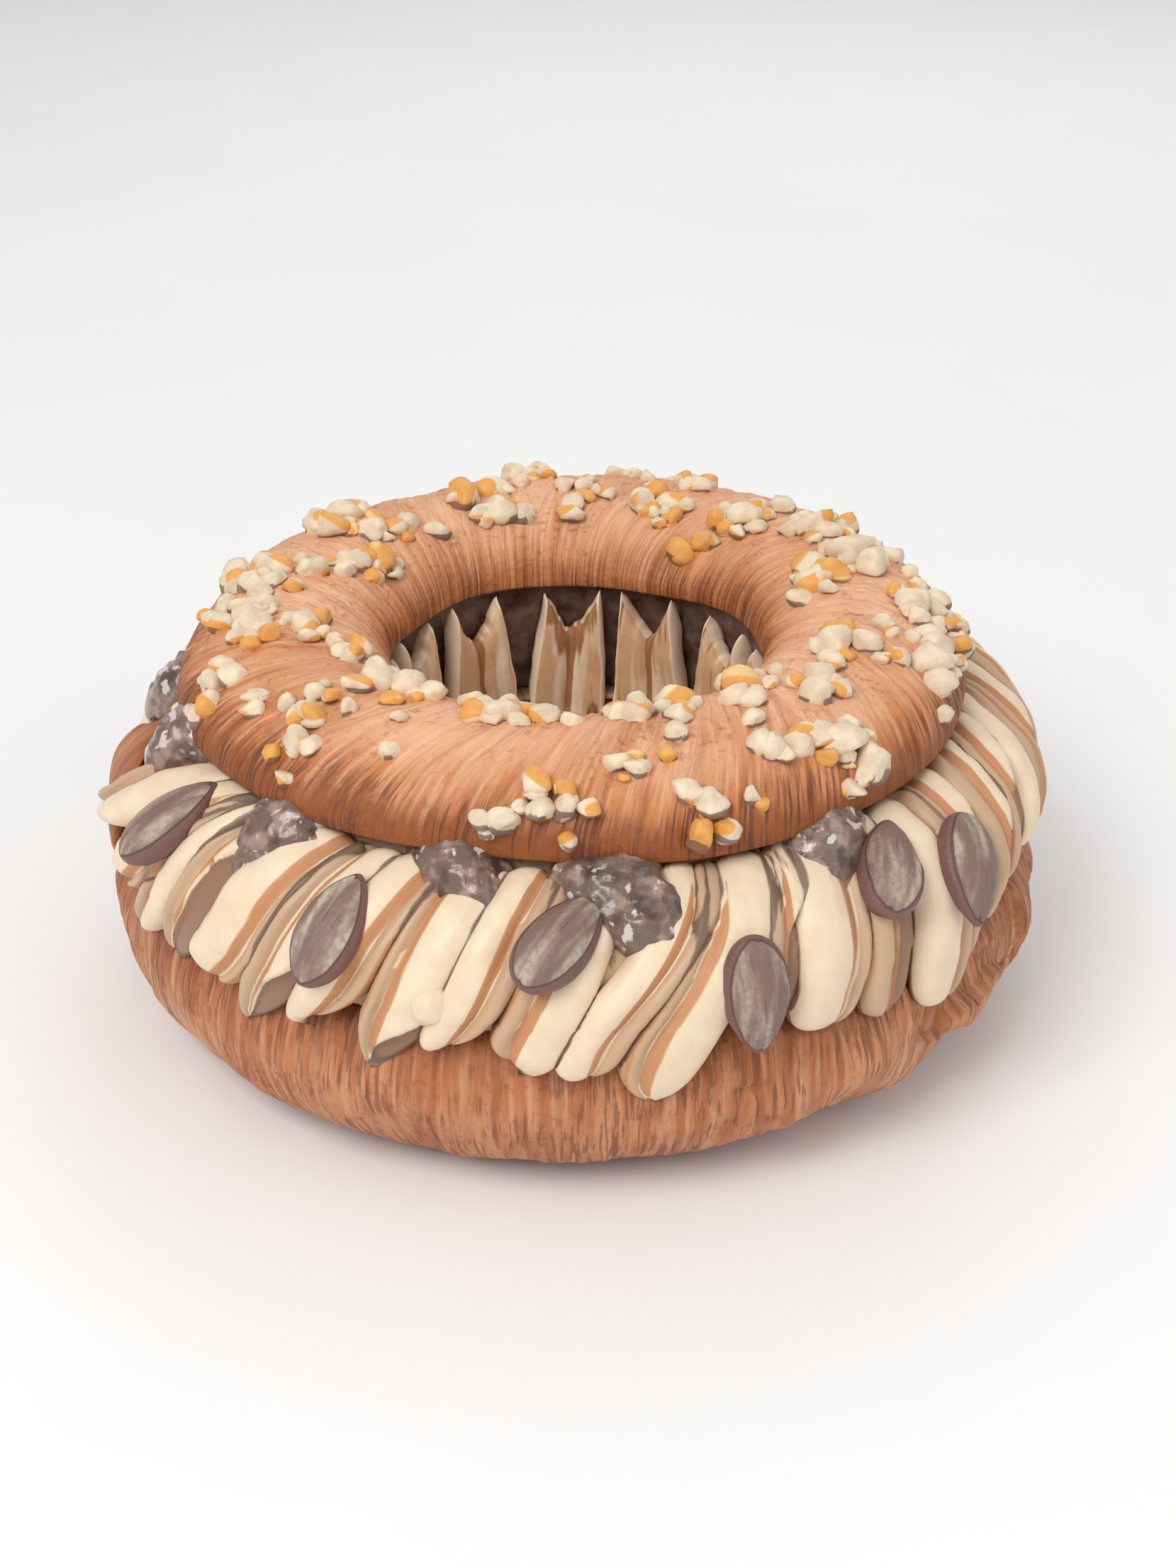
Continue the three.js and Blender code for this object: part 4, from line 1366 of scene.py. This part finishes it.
@dataclass(frozen=True)
class Praline:
    """The dark layer under the lid and what ran out of it."""

    drape: Drape = Drape()
    section: int = 120
    around: int = 400
    rows: int = 90
    columns: int = 96
    outline: tuple[tuple[float, float], ...] = (
        (46, 42.3), (58, 42.3), (62, 61), (78, 61), (78, 70.4), (46, 70.4),
    )
    drips: tuple[Drip, ...] = (
        Drip(-130, 11, 58, 5, tail=-4.0),
        Drip(-106, 11, 60.5, 5, tail=6.0),
        Drip(-85.5, 13.5, 55, 5, tail=5.0),
        Drip(-54.5, 13, 59.5, 6, tail=-3.0),
        Drip(-159.5, 10.5, 58.5, 7.5),
        Drip(-176, 10, 59.5, 7.5),
        Drip(88, 12, 60, 4.4),
    )
    # The drips' praline has strong painted highlights; the layer's is darker with fewer, as painted
    # shade in the hole.
    layer_finish: PralineFinish = PralineFinish(
        "praline_layer", paint(100, 76, 66), paint(124, 104, 94), paint(58, 32, 26),
        paint(136, 116, 104), 0.3,
    )
    drip_finish: PralineFinish = PralineFinish(
        "praline_drip", paint(118, 96, 84), paint(172, 144, 132), paint(64, 48, 42),
        paint(218, 208, 198), 0.85,
    )

    def layer(self) -> Shell:
        """The layer: a rounded outline turned round the axis, lumpy with nut crumbs."""
        radius, height = rounded_outline(list(self.outline), self.section, 1.2).T
        grid = ring_points(round_angles(self.around)[:, None], radius, height)
        return closed(roughened(grid, 0.25, 5.0, 81.0), {}, wrap_rows=True)

    def drip(self, run: Drip, seed: float) -> Shell:
        """Makes one run: broad under the lid, narrowing to its lowest point.

        Width and depth are the root of a sine along the run, less towards its end. The section
        is round with an uneven outline, and lumps of two sizes stand out of it.

        Args:
            run: the run.
            seed: of its outline and lumps.

        Returns:
            The closed surface.
        """
        along = np.linspace(0, 1, self.rows)[:, None]
        turn = round_angles(self.columns)
        start = 0.2 * self.drape.arc
        length = self.drape.length(run.low) + start
        radius, height, out, up = self.drape.at(length * along - start)
        full = np.sqrt(np.maximum(0, np.sin(np.pi * along))) * (1.15 - 0.6 * along)
        flank = np.stack(np.broadcast_arrays(along * 4, np.sign(np.cos(turn)), seed), axis=-1)
        ragged = 1 + 0.25 * np.abs(np.cos(turn)) * fractal(flank, 1.0, seed)
        side = run.half_width * full * np.cos(turn) * ragged
        depth = (run.lift + RIBBON_DEPTH) * full * np.sin(turn)
        azimuth = np.radians(run.at + run.tail * along**2) + side / radius
        grid = ring_points(azimuth, radius + depth * out, height + depth * up)
        lumps = 0.9 * noise(grid, 5.0, seed + 3) + 1.3 * np.abs(noise(grid, 3.1, seed + 4))
        lumps = (lumps + 0.35 * noise(grid, 1.5, seed + 5) - 0.3) * full
        return closed(grid + lumps[..., None] * ring_points(azimuth, out, up), {})

    def build(self) -> list[Piece]:
        """Makes the layer and its drips.

        Returns:
            The pieces of praline.
        """
        drips = joined([self.drip(run, 10.0 * i) for i, run in enumerate(self.drips)])
        made = {
            "praline_layer": (self.layer(), self.layer_finish.material()),
            "praline_drips": (drips, self.drip_finish.material()),
        }
        return [add_piece(name, *parts, "praline", "praline") for name, parts in made.items()]


# --- Almonds and chopped nuts ---


@dataclass(frozen=True)
class AlmondSpot:
    """Where an almond lies: azimuth, height, radius, and lean of its long axis from upright."""

    at: float
    height: float
    radius: float
    lean: float


@dataclass(frozen=True)
class Almonds:
    """Whole almonds in their skins, pressed into the ribbons."""

    drape: Drape = Drape()
    rows: int = 64
    columns: int = 72
    half_length: float = 12.0
    half_width: float = 6.6
    half_thickness: float = 4.6
    shown: tuple[AlmondSpot, ...] = (
        AlmondSpot(-146, 63, 98.8, 5),
        AlmondSpot(-117, 60, 100.9, 9),
        AlmondSpot(-91.5, 62.7, 98.5, 36),
        AlmondSpot(-71, 51.5, 104.7, 180),
        AlmondSpot(-51, 64.5, 96.8, 40),
        AlmondSpot(-41, 59.6, 103.2, 212),
    )
    far_first: float = 38.0
    far_last: float = 142.0
    far_count: int = 5
    far_height: float = 57.0
    far_radius: float = 103.0
    far_seed: float = 900.0
    finish: AlmondFinish = AlmondFinish(
        "almond_skin", paint(122, 86, 80), paint(128, 102, 92), paint(190, 176, 156),
        paint(74, 56, 52),
    )

    def far_spot(self, number: int) -> AlmondSpot:
        """Chooses the place of an almond of the far side: even steps, each a little off.

        Args:
            number: which one, counted from the right.

        Returns:
            Its place.
        """
        key = self.far_seed + 10 * number
        share = number / (self.far_count - 1)
        azimuth = self.far_first + (self.far_last - self.far_first) * share
        return AlmondSpot(azimuth + 4 * draw_signed(key),
                          self.far_height + 4 * draw_signed(key + 1), self.far_radius,
                          50 * draw_signed(key + 2))

    def axes(self, spot: AlmondSpot) -> tuple[Array, Array, Array]:
        """Works out how an almond lies on the drape.

        Args:
            spot: its place and lean.

        Returns:
            Its long axis, its broad axis and the way out of the ring.
        """
        azimuth = np.radians(spot.at)
        steep = np.clip((spot.height - self.drape.equator) / self.drape.rise, 0, 0.9)
        out = ring_points(azimuth, np.sqrt(1 - steep**2), steep)
        upwards = np.cross(out, np.array([-np.sin(azimuth), np.cos(azimuth), 0]))
        lean = -np.radians(spot.lean)
        long = upwards * np.cos(lean) + np.cross(out, upwards) * np.sin(lean)
        return long, np.cross(out, long), out

    def almond(self, spot: AlmondSpot, seed: float) -> Shell:
        """Makes one almond: a ball drawn out along its axis and pointed at one end.

        Shallow grooves run from end to end, as waves of the angle about the axis.

        Args:
            spot: where it lies.
            seed: of its grooves and dents.

        Returns:
            The closed surface with the values that the almond's finish reads.
        """
        polar = np.linspace(0, np.pi, self.rows)[:, None]
        turn = round_angles(self.columns)
        far = np.cos(polar)
        taper = 1 - 0.2 * far - 0.12 * far**2 - 0.16 * np.maximum(0, far) ** 4
        around = np.sin(polar) * taper
        wave = np.cos(13 * turn + 2 * noise(ring_points(turn, 1.5, far), 1.0, seed))
        groove = 1 + 0.009 * wave * np.sin(polar)
        across, out = around * np.cos(turn) * groove, around * np.sin(turn) * groove
        long, broad, outwards = self.axes(spot)
        grid = (ring_points(np.radians(spot.at), spot.radius, spot.height)
                + self.half_length * far[..., None] * long
                + self.half_width * across[..., None] * broad
                + self.half_thickness * out[..., None] * outwards)
        crease = bump(across + 0.06 * far, 0.02, 0.09) * bump(far, 0.1, 0.75)
        return closed(roughened(grid, 0.3, 8.0, seed), {
            "face": np.abs(np.sin(turn)) * np.sin(polar) ** 0.5 - 0.5 * crease,
            "lane": 2.4 * across + seed,
            "reach": 0.7 * far + seed,
        })

    def build(self) -> list[Piece]:
        """Makes each almond as a piece of its own.

        Returns:
            The almonds, those that show first.
        """
        finish = self.finish.material()
        spots = [*self.shown, *(self.far_spot(number) for number in range(self.far_count))]
        return [
            add_piece(f"whole_almond_{number:02d}", self.almond(spot, 3.0 * number), finish,
                      "almond", f"almond_{number:02d}")
            for number, spot in enumerate(spots, start=1)
        ]


@dataclass(frozen=True)
class Drift:
    """A drift of nuts on the lid: azimuth and radius, half spread, and how many of each size.

    The golden share and the scale of the chips' sizes come last.
    """

    at: float
    radius: float
    spread: float
    depth: float
    large: int
    small: int
    golden: float = 0.07
    scale: float = 1.0


def rotation(axis: int, angle: float) -> Array:
    """The matrix that turns by an angle in radians about the axis of a number."""
    i, j = [k for k in range(3) if k != axis]
    matrix = np.eye(3)
    matrix[[i, i, j, j], [i, j, i, j]] = (
        np.cos(angle), -np.sin(angle), np.sin(angle), np.cos(angle))
    return matrix


@dataclass(frozen=True)
class ChoppedNuts:
    """Chopped nuts strewn over the lid, pale ones and golden ones.

    Beside the drifts there are single grains, each with its azimuth, radius and scale.
    """

    lid: LidCrust
    smallest: float = 2.3
    largest: float = 4.3
    sink: float = 0.25
    clumping: float = 0.6
    cuts: int = 3
    rows: int = 12
    columns: int = 16
    seed: float = 40.0
    shape: tuple[float, float, float] = (0.95, 1.15, 0.8)
    # Direction of the painted light on the chips: it places their golden and pale patches.
    lit_from: tuple[float, float, float] = (0.5, -0.4, 0.7)
    drifts: tuple[Drift, ...] = (
        Drift(-172, 75, 9, 7, 3, 18), Drift(-160, 56, 9, 7, 2, 12), Drift(-150, 79, 8, 5, 2, 9),
        Drift(-137, 75, 7, 7, 2, 9), Drift(-128, 58, 9, 6, 2, 8), Drift(-106, 57, 7, 4, 2, 10),
        Drift(-94, 80, 4, 3, 2, 6), Drift(-85, 73, 6, 4, 1, 2), Drift(-79, 56, 12, 3, 2, 9),
        Drift(-68, 81, 6, 3, 1, 4), Drift(-57, 79, 5, 4, 1, 7), Drift(-46, 51, 6, 4, 1, 7),
        Drift(-44, 79, 8, 4, 3, 12), Drift(-34, 63, 6, 6, 2, 8), Drift(-16, 64, 8, 6, 2, 11),
        Drift(-18, 80, 9, 4, 3, 12), Drift(0, 75, 8, 6, 2, 16), Drift(8, 53, 8, 6, 3, 13),
        Drift(20, 71, 9, 8, 2, 14), Drift(38, 68, 8, 7, 3, 11), Drift(50, 53, 8, 7, 1, 8),
        Drift(67, 56, 8, 6, 2, 11), Drift(72, 74, 10, 6, 2, 12), Drift(86, 56, 7, 6, 2, 8),
        Drift(97, 75, 10, 5, 1, 10), Drift(110, 58, 9, 8, 2, 14), Drift(133, 53, 7, 6, 1, 10),
        Drift(145, 69, 9, 7, 3, 14), Drift(158, 50, 8, 5, 2, 12), Drift(170, 66, 8, 9, 2, 18),
    )
    pale_grains: tuple[Point, ...] = (
        (-118, 76, 0.7), (-130, 80, 0.8), (-121, 67, 0.7), (-73, 67, 0.85), (-75, 81, 0.7),
        (-59, 68, 0.7), (-102, 84, 0.75), (-101, 85, 0.55), (-66, 83, 0.65), (-16, 69, 0.65),
        (-24, 73, 0.65), (52, 48, 0.8), (-99, 84, 0.8), (-97, 82, 0.7), (-45, 84, 0.6),
    )
    golden_grains: tuple[Point, ...] = (
        (-81, 72, 0.55), (-76, 73, 0.45), (-83, 77, 0.5), (-73, 84, 0.5), (-65, 84, 0.55),
        (-50, 83, 0.5), (-18, 77, 0.5), (57, 45, 0.9),
    )
    pale: NutFinish = NutFinish(
        "nut_flesh", paint(238, 220, 192), paint(212, 188, 160), paint(230, 162, 74),
        paint(116, 88, 80),
    )
    # On golden chips the patches toward the light are paler, a painted highlight.
    golden: NutFinish = NutFinish(
        "nut_golden", paint(234, 172, 92), paint(218, 146, 66), paint(240, 200, 140),
        paint(126, 84, 60),
    )

    def spot(self, drift: Drift, key: float) -> Point:
        """Azimuth in radians, radius and size of the chip that a key stands for."""
        azimuth = np.radians(drift.at + drift.spread * draw_signed(key))
        radius = drift.radius + drift.depth * draw_signed(key + 1)
        size = self.smallest + (self.largest - self.smallest) * draw(key + 2) ** 1.3
        return azimuth, radius, size * drift.scale

    def chip(self, drift: Drift, number: int, index: int) -> tuple[Shell, bool]:
        """Makes one chip: an uneven ball with flat cuts, partly sunk in the lid.

        A small chip may lie against one of the large ones. Each cut moves the points beyond a
        drawn plane onto that plane.

        Args:
            drift: where it lies.
            number: of the drift.
            index: of the chip in the drift; the first ones are the large ones.

        Returns:
            The closed surface, and whether the chip is a golden one.
        """
        key = self.seed + 60 * number + 7 * index
        azimuth, radius, size = self.spot(drift, key)
        if index >= drift.large:
            size *= 0.62 + 0.4 * draw(key + 5)
            if draw(key + 9) < self.clumping:
                host = self.seed + 60 * number + 7 * (index % drift.large)
                azimuth, radius, reach = self.spot(drift, host)
                reach = 0.85 * (reach + size)
                azimuth += reach * np.cos(TURN * draw(key + 10)) / radius
                radius += reach * np.sin(TURN * draw(key + 10))
        ball = unit_ball(self.rows, self.columns)
        ball = ball * (1.0 + 0.32 * fractal(ball, 1.1, key, 2))[..., None]
        for cut in range(self.cuts):
            normal = draw_signed(key + np.array([11, 23, 37]) + 3 * cut)
            normal /= np.linalg.norm(normal)
            over = np.maximum(0, ball @ normal - 0.6 - 0.3 * draw(key + 50 + cut))
            ball = ball - over[..., None] * normal
        # Golden patches lie on the side toward lit_from: partly painted light.
        tone = ball @ np.array(self.lit_from) + 0.55 * draw_signed(key + 8) - 0.15
        spin = rotation(0, TURN * draw(key + 3)) @ rotation(2, TURN * draw(key + 4))
        ball = ball * np.array(self.shape) * size @ spin.T
        # Painted shadow, in patches, on the underside of each chip.
        low = step(-ball[..., 2] / size, -0.12, 0.12) * step(noise(ball, size, key), -0.3, 0.1)
        centre = ring_points(azimuth, radius, self.lid.height_at(radius) + size * self.sink)
        shell = closed(ball + centre, {"golden": tone, "skin": low})
        return shell, bool(draw(key + 6) < drift.golden)

    def build(self) -> list[Piece]:
        """Makes the pale chips and the golden ones as two pieces.

        Returns:
            The two pieces.
        """
        drifts = [
            *self.drifts,
            *(Drift(at, radius, 0, 0, 1, 0, golden, scale)
              for golden, grains in enumerate((self.pale_grains, self.golden_grains))
              for at, radius, scale in grains),
        ]
        chips = [
            self.chip(drift, number, index)
            for number, drift in enumerate(drifts)
            for index in range(drift.large + drift.small)
        ]
        kinds = (("nuts_pale", self.pale, False), ("nuts_golden", self.golden, True))
        return [
            add_piece(name, joined([shell for shell, golden in chips if golden == kind]),
                      finish.material(), "nuts", "lid_choux")
            for name, finish, kind in kinds
        ]


# --- Studio ---


@dataclass(frozen=True)
class Lamp:
    """A soft square light: place and edge in metres, power in watts, and its colour."""

    name: str
    place: Point
    edge: float
    power: float
    colour: tuple[float, float, float] = (1.0, 1.0, 1.0)


@dataclass(frozen=True)
class Studio:
    """Floor, lights and camera, in metres."""

    target: Point = (0.0026, 0.0, 0.0403)
    distance: float = 0.499
    elevation: float = 29.65
    lens: float = 50.0
    near: float = 0.01
    floor_edge: float = 8.0
    sky: float = 0.54
    sky_colour: Colour = (1.0, 1.0, 1.0, 1.0)
    lamps: tuple[Lamp, ...] = (
        Lamp("key", (-0.55, -0.75, 1.05), 0.7, 10.0, (1.0, 0.99, 0.97)),
        Lamp("fill", (0.9, -0.6, 0.7), 0.9, 2.5, (0.97, 0.98, 1.0)),
        Lamp("back", (0.2, 1.0, 0.9), 0.9, 3.0),
    )
    floor_finish: FloorFinish = FloorFinish(
        "pale_floor", paint(248, 248, 248), paint(240, 240, 240),
    )

    def floor(self) -> None:
        """A square floor at height 0, which isn't part of the pastry."""
        half = self.floor_edge / 2
        corners = [(-half, -half, 0), (half, -half, 0), (half, half, 0), (-half, half, 0)]
        mesh = bpy.data.meshes.new("floor")
        mesh.from_pydata(corners, [], [(0, 1, 2, 3)])
        mesh.materials.append(self.floor_finish.material())
        piece = bpy.data.objects.new("floor", mesh)
        bpy.context.scene.collection.objects.link(piece)

    def aim(self, thing: bpy.types.Object, place: Vector) -> None:
        """Puts a light or the camera at a place and turns it to the target.

        Args:
            thing: the light or the camera.
            place: where it stands.
        """
        thing.location = place
        thing.rotation_mode = "QUATERNION"
        thing.rotation_quaternion = (Vector(self.target) - place).to_track_quat("-Z", "Y")
        bpy.context.scene.collection.objects.link(thing)

    def camera(self) -> None:
        """The camera, in front of the pastry and above it."""
        lens = bpy.data.cameras.new("camera")
        lens.lens = self.lens
        lens.clip_start = self.near
        camera = bpy.data.objects.new("camera", lens)
        raised = np.radians(self.elevation)
        back = Vector((0.0, -np.cos(raised), np.sin(raised)))
        self.aim(camera, Vector(self.target) + self.distance * back)
        bpy.context.scene.camera = camera

    def lights(self) -> None:
        """Three soft lamps under an even pale sky."""
        for lamp in self.lamps:
            light = bpy.data.lights.new(lamp.name, "AREA")
            light.size = lamp.edge
            light.energy = lamp.power
            light.color = lamp.colour
            self.aim(bpy.data.objects.new(lamp.name, light), Vector(lamp.place))
        world = bpy.data.worlds.new("sky")
        world.use_nodes = True
        background = world.node_tree.nodes["Background"]
        background.inputs["Color"].default_value = self.sky_colour
        background.inputs["Strength"].default_value = self.sky
        bpy.context.scene.world = world

    def build(self) -> None:
        """Sets up floor, camera and lights, with colours shown as they are."""
        bpy.context.scene.view_settings.view_transform = "Standard"
        self.floor()
        self.camera()
        self.lights()


def main() -> None:
    """Builds the studio and then the pastry from the ground up."""
    logging.basicConfig(level=logging.INFO)
    Studio().build()
    base, lid = BaseCrust(), LidCrust()
    for maker in (base, PipedCream(base), Praline(), Almonds(), lid, ChoppedNuts(lid)):
        for piece in maker.build():
            LOG.info("%s: %d faces", piece.name, len(piece.data.polygons))


if __name__ == "__main__":
    main()
